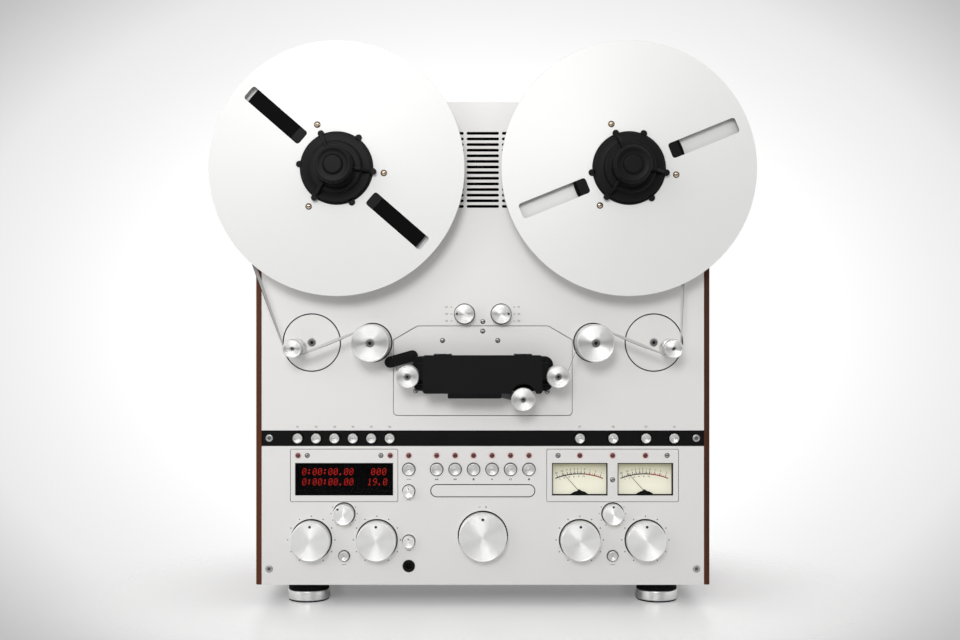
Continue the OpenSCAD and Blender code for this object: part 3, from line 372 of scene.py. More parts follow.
class Finish(Pattern):
    """A procedural material and the frame's slot that it fills."""

    made = {}

    def __init__(self, name, slot, **fixed):
        self.material = bpy.data.materials.new(name)
        self.material.use_nodes = True
        self.slot = slot
        super().__init__(self.material.node_tree, "Principled BSDF")
        self.feed(**fixed)
        Finish.made[name] = self

    def show(self, share):
        """Leaves the finish clear but for a share of it."""
        solid = Value(self.tree, self.shader.outputs[0])
        mix = self.node("MixShader", sockets={0: share, 1: self.node("BsdfTransparent"), 2: solid})
        self.tree.links.new(mix.socket, self.tree.nodes["Material Output"].inputs["Surface"])


def darker(colour, share):
    """A share of a colour's light, or more of it where the share is above 1."""
    return tuple(c * share for c in colour)


def brushed_finish(name, slot, colour, metallic, rough, depth):
    """Satin metal brushed from left to right."""
    finish = Finish(name, slot, Metallic=metallic)
    lines = finish.noise(finish.coords((10, 10, 2200)), 1.0, 3)
    cloud = finish.noise(finish.coords(), 7.0, 2)
    finish.feed(
        Base_Color=finish.blend(lines * 0.55 + cloud * 0.45, darker(colour, 0.95), colour),
        Roughness=rough + lines * 0.1 + cloud * 0.05,
    )
    finish.relief(lines, depth)


def turned_finish(name, slot, colour, rough, slope, along="Y", cone=0.0, metal=1.0, tint=0.9):
    """Metal turned on a lathe: fine rings that lean by a slope, on a face that may be a shallow cone."""
    finish = Finish(name, slot, Metallic=metal)
    radius = finish.radius()
    own = finish.node("SeparateXYZ", sockets={0: finish.node("TexCoord", out="Object")})
    track = radius + own.also(along)
    broad = finish.noise_along(track * 620.0, 2.0, 0.6)
    pitch = 0.32
    turn = 2 * math.pi / (pitch * MM)
    rings = finish.sine(track * turn + broad * 9.0)
    finish.feed(
        Base_Color=finish.blend(rings * 0.2 + broad * 0.6, darker(colour, tint), colour),
        Roughness=rough + broad * 0.06,
    )
    finish.relief(rings - radius * (cone * turn / slope) if cone else rings, slope / turn / MM)


def black_finish(name, slot, colour, rough, grain, depth):
    """Black metal or plastic with a fine grain."""
    finish = Finish(name, slot, Specular_IOR_Level=0.12)
    fine = finish.noise(finish.coords(), grain, 3)
    wear = finish.noise(finish.coords(), 38.0, 4)
    finish.feed(
        Base_Color=finish.blend(wear, darker(colour, 0.8), darker(colour, 1.25)),
        Roughness=rough - 0.06 + wear * 0.12,
    )
    finish.relief(fine, depth)


def walnut_finish(colour):
    """Oiled wood with its grain running up the side panels."""
    finish = Finish("oiled_walnut", "walnut", Specular_IOR_Level=0.25)
    drift = finish.noise(finish.coords((9, 9, 1.4)), 1.0, 3)
    own = finish.node("SeparateXYZ", sockets={0: finish.coords()})
    bands = finish.sine(own.also("Y") * 95.0 + own.also("X") * 60.0 + drift * 7.0) * 0.5 + 0.5
    pores = finish.noise(finish.coords((900, 900, 16)), 1.0, 3)
    streaks = finish.noise(finish.coords((160, 160, 3)), 1.0, 4)
    tone = finish.ramp(
        bands * 0.35 + streaks * 0.5 + pores * 0.15,
        (0.18, darker(colour, 0.38)),
        (0.5, darker(colour, 0.82)),
        (0.85, darker(colour, 1.35)),
    )
    finish.feed(Base_Color=tone, Roughness=0.36 + pores * 0.2)
    finish.relief(pores + streaks * 0.5, 0.05)


def film_finish():
    """Dark coated tape."""
    finish = Finish("tape_film", "tape_film", Coat_Weight=0.3, Coat_Roughness=0.15)
    cloud = finish.noise(finish.coords((300, 40, 300)), 1.0, 2)
    tone = finish.blend(cloud, shade(26, 20, 17), shade(44, 34, 28))
    finish.feed(Base_Color=tone, Roughness=0.22 + cloud * 0.12)


def winding_finish():
    """The edge of wound tape: very fine rings, a few of them proud."""
    finish = Finish("wound_tape", "tape_film", Specular_IOR_Level=0.05)
    turns = finish.noise_along(finish.radius() * 2200.0, 3.0, 0.7)
    tone = finish.blend(turns, shade(2, 2, 3), shade(9, 8, 8))
    finish.feed(Base_Color=tone, Roughness=0.45 + turns * 0.2)
    finish.relief(turns, 0.06)


def plain_finish(name, slot, first, second, scale, rough, **fixed):
    """A colour that varies a little between two shades, with a fine grain."""
    finish = Finish(name, slot, **fixed)
    cloud = finish.noise(finish.coords(), scale, 4)
    finish.feed(Base_Color=finish.blend(cloud, first, second), Roughness=rough + cloud * 0.08)
    finish.relief(cloud, 0.01)


def digit_finish(colour):
    """The display's lit dots."""
    finish = Finish("display_dots", None, Roughness=0.4, Emission_Strength=1.1)
    cloud = finish.noise(finish.coords(), 900.0, 2)
    tone = finish.blend(cloud, darker(colour, 0.8), colour)
    finish.feed(Base_Color=tone, Emission_Color=tone)


def painted_glow_dial_finish(colour):
    """A meter's card with a painted glow, and painted shade that darkens it towards its top as if a lamp
    below its lower edge lit it.
    """
    finish = Finish("dial_card_painted_glow", None, Roughness=0.6, Emission_Strength=0.4)
    own = finish.node("SeparateXYZ", sockets={0: finish.coords(place=(0, 0, -PANE[0] * MM))})
    rise = own.also("Z") / (PANE_HIGH * MM)
    grain = finish.noise(finish.coords(), 700.0, 2)
    # The ramp darkens the card towards its top: painted shade, as if lit from below
    tone = finish.ramp(
        rise + grain * 0.05,
        (0.2, colour),
        (0.62, darker(colour, 0.86)),
        (1.0, shade(180, 177, 144)),
    )
    finish.feed(Base_Color=tone, Emission_Color=tone)


def pane_finish(name, colour, alpha):
    """Thin clear plastic."""
    finish = Finish(name, "window", Roughness=0.08, Specular_IOR_Level=0.12)
    smear = finish.noise(finish.coords(), 60.0, 3)
    tone = finish.blend(smear, darker(colour, 0.8), colour)
    finish.feed(Base_Color=tone, Alpha=alpha + smear * 0.04)


def make_finishes():
    """All finishes of the recorder, once."""
    if Finish.made:
        return
    plate, metal, reel = colour_of("plate"), colour_of("turned"), colour_of("reel")
    black, ink, lamp = colour_of("black"), colour_of("ink"), colour_of("lamp")
    groove = 0.4 * sizes().brush
    brushed_finish("brushed_plate", "brushed_plate", plate, 0.5, 0.5, 0.004)
    turned_finish("turned_aluminium", "turned_aluminium", metal, 0.3, groove * 0.9, tint=0.96)
    # A darker copy of the turned aluminium, its darkness a painted shade, for rollers, keys, the pinch cap
    # and the selector knobs
    turned_finish("roller_aluminium", "turned_aluminium", darker(metal, 0.8), 0.27, groove)
    turned_finish(
        "reel_aluminium", "reel_aluminium", reel, 0.5, groove * 0.1, cone=0.06, metal=0.4, tint=0.97
    )
    turned_finish("feet_aluminium", "feet_aluminium", metal, 0.3, groove * 0.3, along="Z", tint=0.96)
    turned_finish("screw_steel", "steel", shade(186, 186, 186), 0.3, groove * 0.3)
    # Dark steel for screws and the pinch arm, and a painted shade in the frame screws' sockets and round the
    # small screws
    turned_finish("dark_steel_and_painted_shade", "steel", shade(112, 112, 112), 0.4, groove * 0.3)
    turned_finish("screw_brass", "steel", shade(214, 196, 172), 0.2, groove * 0.3)
    # Dark brass for the rings and slot bars of the reel screws, a painted shade
    turned_finish("painted_shade_brass", "steel", shade(66, 54, 44), 0.35, groove * 0.2)
    brushed_finish("frame_aluminium", "frame_aluminium", shade(190, 190, 188), 0.9, 0.4, 0.006)
    black_finish("black_anodised", "black_metal", black, 0.38, 2600.0, 0.006)
    black_finish("black_wrinkle", "black_metal", darker(black, 1.3), 0.55, 1500.0, 0.07)
    black_finish("black_shell", "black_metal", shade(44, 44, 46), 0.5, 1900.0, 0.05)
    black_finish("black_moulded", "black_plastic", darker(black, 0.85), 0.4, 2100.0, 0.012)
    black_finish("black_rubber", "black_plastic", darker(black, 0.7), 0.7, 1300.0, 0.03)
    # Black for black parts, and a painted shade in holes, sockets, the panel's groove and behind the vents
    black_finish("black_and_painted_shade", "black_plastic", shade(6, 6, 6), 0.7, 900.0, 0.01)
    walnut_finish(colour_of("walnut"))
    film_finish()
    winding_finish()
    plain_finish("grey_ink", None, darker(ink, 0.9), ink, 900.0, 0.5)
    plain_finish("black_ink", None, shade(14, 14, 14), shade(26, 26, 26), 900.0, 0.5)
    plain_finish("red_ink", None, shade(176, 40, 22), shade(192, 48, 28), 900.0, 0.5)
    plain_finish("lamp_lens", "red_lamp", darker(lamp, 0.7), lamp, 500.0, 0.12, Coat_Weight=0.6)
    # A pale pink ring round each lamp, a painted glow of the lamp
    plain_finish("painted_lamp_halo", None, shade(242, 208, 204), shade(246, 216, 212), 500.0, 0.5)
    # A pale film for twisted tape runs, a painted reflection
    plain_finish("leader_film", "tape_film", shade(226, 225, 222), shade(236, 235, 232), 300.0, 0.35)
    plain_finish("white_ring", "black_plastic", shade(220, 219, 214), shade(232, 231, 226), 500.0, 0.4)
    plain_finish("red_ring", "black_plastic", shade(150, 26, 22), shade(168, 30, 26), 500.0, 0.4)
    plain_finish("brass", "steel", shade(186, 150, 84), shade(206, 172, 104), 600.0, 0.3, Metallic=1.0)
    plain_finish("board_green", "black_plastic", shade(22, 62, 38), shade(30, 78, 48), 120.0, 0.4)
    plain_finish("coil_steel", "steel", shade(120, 118, 116), shade(146, 145, 142), 90.0, 0.4, Metallic=1.0)
    plain_finish("bare_steel", "steel", shade(196, 196, 196), shade(214, 214, 213), 400.0, 0.2, Metallic=1.0)
    digit_finish(colour_of("digits"))
    painted_glow_dial_finish(colour_of("dial"))
    pane_finish("clear_pane", shade(70, 72, 72), 0.02)
    pane_finish("smoked_pane", shade(3, 3, 4), 0.25)


def spot(x, up, out=0.0):
    """A point by its place on the front, in millimetres: right, up from the floor, and out."""
    return Vector((x * MM, FRONT - out * MM, up * MM))


def mirrored(place, sign):
    """A place on the front, or its like on the other side."""
    return sign * place[0], place[1]


def polar(angle, radius):
    """How far right and up a point lies, by its angle in degrees and its distance."""
    return radius * math.cos(math.radians(angle)), radius * math.sin(math.radians(angle))


def plate_edge():
    """The rounding of the plates' edges in millimetres."""
    return sizes().plate_edge / MM


def knob_edge():
    """The rounding of turned edges in millimetres."""
    return sizes().knob_edge / MM


def fresh(*pieces):
    """Selects these pieces alone, the last of them active."""
    bpy.ops.object.select_all(action="DESELECT")
    for piece in pieces:
        piece.select_set(True)
        bpy.context.view_layer.objects.active = piece


def named(piece, name):
    """Gives a piece and its mesh a name."""
    piece.name = piece.data.name = name
    return piece


def settle(name):
    """Names the active piece and puts its place in its mesh."""
    bpy.ops.object.transform_apply(location=True, rotation=True, scale=True)
    return named(bpy.context.object, name)


def drop(*pieces):
    """Removes what was only a tool or a pattern."""
    for piece in pieces:
        bpy.data.objects.remove(piece, do_unlink=True)


AXES = {
    "front": ((math.pi / 2, 0, 0), Vector((0, -1, 0))),
    "back": ((-math.pi / 2, 0, 0), Vector((0, 1, 0))),
    "up": ((0, 0, 0), Vector((0, 0, 1))),
}


def turned(name, centre, profile, axis="front", sides=64):
    """A round face drawn out along its axis through pairs of radius and reach, in millimetres."""
    turn, along = AXES[axis]
    radius, reach = profile[0]
    fresh()
    bpy.ops.mesh.primitive_circle_add(
        vertices=sides,
        radius=radius * MM,
        fill_type="NGON",
        enter_editmode=True,
        location=centre + along * reach * MM,
        rotation=turn,
    )
    for next_radius, next_reach in profile[1:]:
        bpy.ops.mesh.extrude_region_move(
            TRANSFORM_OT_translate={"value": along * (next_reach - reach) * MM}
        )
        if next_radius != radius:
            share = next_radius / radius
            bpy.ops.transform.resize(
                value=[1 if abs(c) > 0.5 else share for c in along],
                center_override=centre + along * next_reach * MM,
            )
        radius, reach = next_radius, next_reach
    bpy.ops.object.mode_set(mode="OBJECT")
    piece = settle(name)
    lay_turning(piece, centre, axis)
    return piece


def lay_turning(piece, centre, axis="front"):
    """A map of a turned piece's own: how far each point lies from the axis, across and up."""
    layer = piece.data.uv_layers.get("turning") or piece.data.uv_layers.new(name="turning")
    second = 1 if axis == "up" else 2
    for loop in piece.data.loops:
        offset = piece.data.vertices[loop.vertex_index].co - centre
        layer.data[loop.index].uv = (offset[0], offset[second])


def peg(x, up, radius, out0, out1, sides=48):
    """A round bar along the depth, as a cutter or a printed dot."""
    fresh()
    bpy.ops.mesh.primitive_cylinder_add(
        vertices=sides,
        radius=radius * MM,
        depth=(out1 - out0) * MM,
        location=spot(x, up, (out0 + out1) / 2),
        rotation=(math.pi / 2, 0, 0),
    )
    return settle("peg")


def slab(name, x0, x1, up0, up1, out0, out1):
    """A block of the front, between two places each way, in millimetres."""
    fresh()
    bpy.ops.mesh.primitive_cube_add(
        size=1,
        location=spot((x0 + x1) / 2, (up0 + up1) / 2, (out0 + out1) / 2),
        scale=((x1 - x0) * MM, (out1 - out0) * MM, (up1 - up0) * MM),
    )
    return settle(name)


def block(name, x, up, w, h, out0, out1):
    """A block of the front by its middle, width and height, in millimetres."""
    return slab(name, x - w / 2, x + w / 2, up - h / 2, up + h / 2, out0, out1)


def leaf(name, x, up, out, w, h):
    """A printed mark that faces the viewer, as thick as its ink."""
    return block(name, x, up, w, h, out - INK, out)


def printed(piece):
    """Gives a flat mark the thickness of its ink."""
    use(piece, "SOLIDIFY", thickness=INK * MM, offset=-1)
    return piece


def lettered(body, size, x, up, out):
    """Plain figures laid on the front, centred on a place."""
    fresh()
    bpy.ops.object.text_add(location=spot(x, up, out), rotation=(math.pi / 2, 0, 0))
    text = bpy.context.object.data
    text.body, text.size = body, size * MM
    text.align_x, text.align_y = "CENTER", "CENTER"
    text.resolution_u = 2
    bpy.ops.object.convert(target="MESH")
    return printed(settle("mark"))


def edit(piece, kind, wanted, operator, **settings):
    """Runs an operator on the edges that a test of their two ends wants, or on the faces it wants."""
    fresh(piece)
    bpy.ops.object.mode_set(mode="EDIT")
    bpy.ops.mesh.select_mode(type=kind)
    bpy.ops.mesh.select_all(action="DESELECT")
    bpy.ops.object.mode_set(mode="OBJECT")
    mesh = piece.data
    if kind == "EDGE":
        for edge in mesh.edges:
            edge.select = wanted(*(mesh.vertices[i].co for i in edge.vertices))
    else:
        for face in mesh.polygons:
            face.select = wanted(face)
    bpy.ops.object.mode_set(mode="EDIT")
    operator(**settings)
    bpy.ops.object.mode_set(mode="OBJECT")
    return piece


def along_depth(first, second):
    """An edge that runs from front to back."""
    run = second - first
    return abs(run.y) > 0.9 * run.length


def round_edges(piece, wanted, radius, segments):
    """Rounds the edges that a test of their two ends wants."""
    return edit(
        piece, "EDGE", wanted, bpy.ops.mesh.bevel, offset=radius * MM, segments=segments, affect="EDGES"
    )


def rounded_slab(name, x, up, w, h, r, out0, out1, segments=8):
    """A block with round corners seen from the front."""
    piece = block(name, x, up, w, h, out0, out1)
    return round_edges(piece, along_depth, min(r, w / 2 - 0.01, h / 2 - 0.01), segments)


def sliced(piece, place, normal, whole=False):
    """Divides a piece at a plane; unless it stays whole, the far part goes and the cut is closed."""
    fresh(piece)
    bpy.ops.object.mode_set(mode="EDIT")
    bpy.ops.mesh.select_all(action="SELECT")
    bpy.ops.mesh.bisect(plane_co=place, plane_no=normal, use_fill=not whole, clear_outer=not whole)
    bpy.ops.object.mode_set(mode="OBJECT")
    return piece


def swing(piece, angle, about):
    """Turns a piece's mesh about a point of the front, to the left as the viewer sees it."""
    turn = Matrix.Rotation(-math.radians(angle), 4, "Y")
    piece.data.transform(Matrix.Translation(about) @ turn @ Matrix.Translation(-about))
    return piece


def copied(piece, right=0.0, up=0.0, out=0.0):
    """A copy with a mesh of its own, shifted in millimetres."""
    twin = piece.copy()
    twin.data = piece.data.copy()
    bpy.context.scene.collection.objects.link(twin)
    twin.data.transform(Matrix.Translation((right * MM, -out * MM, up * MM)))
    return twin


def repeated(piece, shifts):
    """Copies of a piece, each with its own shift, in its stead."""
    copies = [copied(piece, *shift) for shift in shifts]
    drop(piece)
    return copies


def joined(name, pieces):
    """Several pieces as one, under its name."""
    if len(pieces) > 1:
        fresh(*pieces)
        bpy.ops.object.join()
    return named(pieces[-1], name)


def use(piece, kind, **settings):
    """Adds a modifier with its settings and applies it."""
    fresh(piece)
    bpy.ops.object.modifier_add(type=kind)
    modifier = piece.modifiers[-1]
    for name, value in settings.items():
        setattr(modifier, name, value)
    bpy.ops.object.modifier_apply(modifier=modifier.name)


def cut(piece, cutters):
    """Takes the cutters out of a piece."""
    tool = joined("cutter", cutters)
    use(piece, "BOOLEAN", operation="DIFFERENCE", object=tool, solver="EXACT", use_self=True)
    drop(tool)
    return piece


def ease(piece, width, segments=2):
    """Rounds a piece's sharp edges by a width in millimetres, and evens its shading."""
    use(
        piece,
        "BEVEL",
        width=width * MM,
        segments=segments,
        limit_method="ANGLE",
        angle_limit=math.radians(40),
        use_clamp_overlap=True,
    )
    return even(piece)


def even(piece, angle=50):
    """Smooth shading in which wide faces stay flat."""
    fresh(piece)
    bpy.ops.object.shade_smooth_by_angle(angle=math.radians(angle))
    use(piece, "WEIGHTED_NORMAL", keep_sharp=True, weight=60)
    return piece


def paint(piece, *finishes):
    """Gives a piece its finishes; the first covers it."""
    piece.data.materials.clear()
    for name in finishes:
        piece.data.materials.append(Finish.made[name].material)
    return piece


def paint_shade_on_walls(piece, up0, up1):
    """Gives a plate's second finish, a painted shade, to the walls of its holes."""
    for face in piece.data.polygons:
        x, up = abs(face.center.x) / MM, face.center.z / MM
        inside = x < PANEL_X - 1 and up0 + 1 < up < up1 - 1
        face.material_index = int(inside and abs(face.normal.y) < 0.35)
    return piece


def paint_shade_inside(piece, x, up, radius, out):
    """Gives a piece's second finish, as painted shade, to what lies inside a radius and behind a level."""
    for face in piece.data.polygons:
        offset = face.center - spot(x, up, out)
        inside = math.hypot(offset.x, offset.z) < radius * MM
        face.material_index = int(inside and offset.y > 0)
    return piece


def fit(piece, body, *nodes):
    """Sets a finished piece on its body, in place of these nodes, which it hides."""
    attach(piece, body)
    if nodes:
        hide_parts(*nodes)


def dress(piece, finish, body, *nodes):
    """Paints a finished piece and sets it on its body, in place of these nodes."""
    fit(paint(piece, finish), body, *nodes)


def cap_screw(name, x, up, radius, out, angle, finish="dark_steel_and_painted_shade"):
    """A socket screw in the middle of a turned cap."""
    profile = [(radius, out - 2.0), (radius, out - 0.1), (radius * 0.82, out + 0.2)]
    screw = turned(name, spot(x, up), profile, sides=32)
    driver = peg(x, up, radius * 0.5, out - 0.4, out + 1.0, 6)
    cut(screw, [swing(driver, angle, spot(x, up))])
    # The screw's socket is painted black as painted shade
    return paint_shade_inside(paint(even(screw), finish, "black_and_painted_shade"), x, up, radius * 0.55, out - 0.2)


class RECORDER_OT_cabinet(bpy.types.Operator):
    """Folded shell, wooden side panels and the rear's screws."""

    bl_idname = "recorder.cabinet"
    bl_label = "Cabinet"
    bl_options = {"REGISTER", "UNDO"}

    def execute(self, context):
        make_finishes()
        self.make_shell()
        cheeks = []
        for side, sign in SIDES:
            x0, x1 = sorted((sign * PANEL_X, sign * (PANEL_X + 6.0)))
            cheeks.append(slab(side, x0, x1, CONTROLS[0], DECK[1], REAR, 0.0))
        dress(ease(joined("wooden_side_panels", cheeks), 1.1, 3), "oiled_walnut", "case", "side_panels")
        profile = [(3.4, -0.4), (3.4, 0.7), (2.9, 1.3), (2.2, 1.55)]
        head = turned("screw", spot(0, 0, REAR), profile, "back", 24)
        cut(head, [block("driver", 0, 0, 5.2, 0.9, REAR - 3.0, REAR - 1.0)])
        places = [(x, up) for x in (-222, -74, 74, 222) for up in (34, 525)]
        places += [(x, up) for x in (-222, 222) for up in (190, 360)]
        dress(even(joined("rear_screws", repeated(head, places))), "screw_steel", "case")
        return {"FINISHED"}

    def make_shell(self):
        """Top, rear and bottom folded from one sheet, with vent slots and the sockets' holes."""
        shell = slab("folded_shell", -PANEL_X, PANEL_X, CONTROLS[0], DECK[1], REAR, PLATE_BACK)
        edit(
            shell,
            "FACE",
            lambda face: face.normal.y < -0.5 or abs(face.normal.x) > 0.5,
            bpy.ops.mesh.delete,
            type="FACE",
        )
        rear = FRONT - REAR * MM

        def fold(first, second):
            """A level edge of the rear."""
            gaps = (first.y - rear, second.y - rear, first.z - second.z)
            return all(abs(gap) < CLOSE for gap in gaps)

        round_edges(shell, fold, 2.5, 5)
        use(shell, "SOLIDIFY", thickness=2.0 * MM, offset=-1)
        slot = rounded_slab("slot", -60.0, VENT_LOW, 80.0, 3.0, 1.5, *THROUGH_REAR, segments=4)
        cutters = repeated(slot, [(x, VENT_PITCH * i) for x in (0, 120) for i in range(VENT_COUNT)])
        cutters += [peg(x, SOCKET_ROW, 6.3, *THROUGH_REAR, 32) for x in SOCKET_X]
        cutters.append(block("inlet", INLET_X, SOCKET_ROW, 30.8, 23.3, *THROUGH_REAR))
        dress(ease(cut(shell, cutters), 0.35), "black_shell", "case", "cabinet_shell")


class RECORDER_OT_feet(bpy.types.Operator):
    """Four round feet: pad, brushed disc and black spacer."""

    bl_idname = "recorder.feet"
    bl_label = "Feet"
    bl_options = {"REGISTER", "UNDO"}

    def execute(self, context):
        make_finishes()
        pad = [(21.4, 0), (22, 0.4), (22, 1.6)]
        disc = [(22.2, 1.5), (23, 2.2), (23, 10.9), (22.4, 11.9), (21.6, 12.5)]
        spacer = [(21.8, 12.4), (21.8, 21.0), (22, 21.2), (22, 22)]
        shifts = [(x, 0, out) for x in (-190.0, 190.0) for out in (-36.0, -184.0)]
        discs = repeated(turned("disc", spot(0, 0), disc, "up", 96), shifts)
        blacks = repeated(turned("pad", spot(0, 0), pad, "up", 72), shifts)
        blacks += repeated(turned("spacer", spot(0, 0), spacer, "up", 72), shifts)
        dress(ease(joined("feet_discs", discs), 0.2), "feet_aluminium", "case", "feet")
        dress(even(joined("feet_spacers", blacks)), "black_rubber", "case")
        return {"FINISHED"}


def head_outline(name, grow, out0, out1):
    """The head plate's outline, grown all round: two cut upper corners and two round lower ones."""
    side, low, high = 95 + grow, 203 - grow, 298 + grow
    piece = slab(name, -side, side, low, high, out0, out1)
    for sign in SIGNS:
        sliced(piece, spot(sign * (69.4 + grow), high), Vector((sign * 15.0, 0, 25.6)).normalized())
    lower = (low + 1) * MM
    return round_edges(piece, lambda a, b: along_depth(a, b) and a.z < lower, 4.0 + grow, 6)


class RECORDER_OT_front_plates(bpy.types.Operator):
    """Deck plate with its vents, control panel, key strip and head plate."""

    bl_idname = "recorder.front_plates"
    bl_label = "Front plates"
    bl_options = {"REGISTER", "UNDO"}

    def execute(self, context):
        make_finishes()
        self.make_deck()
        self.make_controls()
        strip = slab("key_strip", -PANEL_X, PANEL_X, *STRIP, PLATE_BACK, -1.0)
        cutters = [peg(x, STRIP_ROW, 6.15, *THROUGH, 48) for x in STRIP_X]
        cutters += [peg(x, up, 4.0, out - 1.3, 2.0, 40) for x, up, out in FRAME_SCREWS if out < 0]
        dress(ease(cut(strip, cutters), 0.3), "black_anodised", "case", "button_strip")
        plate = head_outline("heads_plate", 0.0, -2.5, 0.0)
        cutters = [peg(x, up, 2.7, *SEAT, 32) for x, up in HEAD_SCREWS]
        pins = [(*mirrored(HEAD_ROLLER, sign), 3.8) for sign in SIGNS]
        pins += [(*PINCH_PIVOT, 4.8), (*LEVER, 3.8), (*CAPSTAN, 4.8)]
        cutters += [peg(*pin, *THROUGH_THIN, 32) for pin in pins]
        dress(ease(cut(plate, cutters), plate_edge()), "brushed_plate", "case", "head_plate")
        return {"FINISHED"}

    def make_deck(self):
        """The deck plate, open for the vents, the head plate, the discs and all that turns."""
        deck = slab("front_deck", -PANEL_X, PANEL_X, *DECK, PLATE_BACK, 0.0)
        slot = rounded_slab("slot", -37.6, VENT_LOW, 34.5, 3.0, 1.49, *THROUGH, segments=5)
        cutters = repeated(slot, [(37.6 * k, VENT_PITCH * i) for k in range(3) for i in range(VENT_COUNT)])
        cutters.append(head_outline("pocket", 0.7, *POCKET))
        holes = ((TENSION, 31.2, 128), (GUIDE, 21.2, 96), (SELECTOR, 11.3, 64), (REEL, 7.0, 32))
        for sign in SIGNS:
            cutters += [peg(*mirrored(place, sign), r, *THROUGH, sides) for place, r, sides in holes]
        cutters += [peg(x, up, 2.7, *SEAT, 32) for x, up in DECK_SCREWS]
        # The walls of the deck's holes take the second finish, a painted shade
        paint(ease(cut(deck, cutters), plate_edge()), "brushed_plate", "black_and_painted_shade")
        fit(paint_shade_on_walls(deck, *DECK), "case", "deck_plate")

    def make_controls(self):
        """The control panel with all its openings, and a black line laid in the floor of its groove as
        painted shade.
        """
        panel = slab("controls_panel", -PANEL_X, PANEL_X, *CONTROLS, PLATE_BACK, 0.0)
        cutters = [
            rounded_slab("pocket", x, BEZEL_UP, w + 1.0, BEZEL_HIGH + 1.0, 2.0, *POCKET) for x, w in BEZELS
        ]
        cutters += [block("opening", x, PANE_UP, w + 3.0, PANE_HIGH + 3.0, -8.0, -1.0) for x, w in PANES]
        holes = [(*lamp, 2.5, 32) for lamp in PANEL_LAMPS]
        holes += [(x, KEY_ROW, 7.2, 56) for x in TRANSPORT_X + [COLUMN]]
        holes += [(x, KNOB_ROW, 22.3, 96) for x in LARGE_KNOBS.values()]
        holes.append((*JOG, 26.8, 112))
        for x in (LEFT_GROUP, RIGHT_GROUP):
            holes += [(x, BLEND_ROW, 12.1, 64), (x, SMALL_KEY_ROW, 6.3, 48)]
        holes += [(COLUMN, up, 7.1, 48) for up in TRIM_ROWS]
        holes.append((*PHONES, 6.65, 48))
        cutters += [peg(x, up, radius, *THROUGH, sides) for x, up, radius, sides in holes]
        cutters += [peg(x, up, 4.0, *SEAT, 40) for x, up, out in FRAME_SCREWS if out == 0]
        groove = rounded_slab("groove", 0, LINE_ROW, 112.0, 14.0, 6.99, -2.2, 2.0, segments=16)
        island = rounded_slab("island", 0, LINE_ROW, 110.2, 12.2, 6.09, -3.0, 4.0, segments=16)
        cut(groove, [island])
        line = named(copied(groove), "inlay_line")
        cut(cut(panel, cutters), [groove])
        # The walls of the panel's holes take the second finish, a painted shade
        paint(ease(panel, plate_edge()), "brushed_plate", "black_and_painted_shade")
        fit(paint_shade_on_walls(panel, *CONTROLS), "case", "control_panel")
        # The line keeps only its floor, deep in the groove, black as painted shade
        cut(line, [slab("mouth", -60, 60, 110, 135, -0.5, 4.0)])
        dress(even(line), "black_and_painted_shade", "case")


def within(places, x, w):
    """Those of some places that lie in a width about a middle."""
    return [place for place in places if abs(place[0] - x) < w / 2]


class RECORDER_OT_bezels(bpy.types.Operator):
    """Bezels of the display and the meters, with their gaskets and windows."""

    bl_idname = "recorder.bezels"
    bl_label = "Bezels and windows"
    bl_options = {"REGISTER", "UNDO"}

    def execute(self, context):
        make_finishes()
        bezels = []
        for x, w in BEZELS:
            bezel = rounded_slab("bezel", x, BEZEL_UP, w, BEZEL_HIGH, 1.6, -2.5, 0.1)
            panes = within(PANES, x, w)
            cutters = [block("window", px, PANE_UP, pw, PANE_HIGH, *THROUGH_THIN) for px, pw in panes]
            cutters += [peg(*lamp, 2.5, *THROUGH_THIN, 32) for lamp in within(BEZEL_LAMPS, x, w)]
            cutters += [peg(*screw, 2.7, -1.2, 2.0, 32) for screw in within(BEZEL_SCREWS, x, w)]
            bezels.append(cut(bezel, cutters))
        bezel = ease(joined("instrument_frames", bezels), 0.2)
        dress(bezel, "brushed_plate", "case", "instrument_bezels")
        gaskets = []
        for x, w in PANES:
            inner = block("inner", x, PANE_UP, w - 1.8, PANE_HIGH - 1.8, *THROUGH_THIN)
            gaskets.append(cut(block("gasket", x, PANE_UP, w, PANE_HIGH, -2.4, -0.7), [inner]))
        dress(ease(joined("window_gaskets", gaskets), 0.15), "black_rubber", "case")
        plans = [("smoked_pane", ["instrument_windows"]), ("clear_pane", []), ("clear_pane", [])]
        for i, ((x, w), (finish, nodes)) in enumerate(zip(PANES, plans)):
            pane = block(f"window_{i + 1}", x, PANE_UP, w - 0.3, PANE_HIGH - 0.3, -2.5, -1.1)
            dress(ease(pane, 0.15), finish, "case", *nodes)
        return {"FINISHED"}


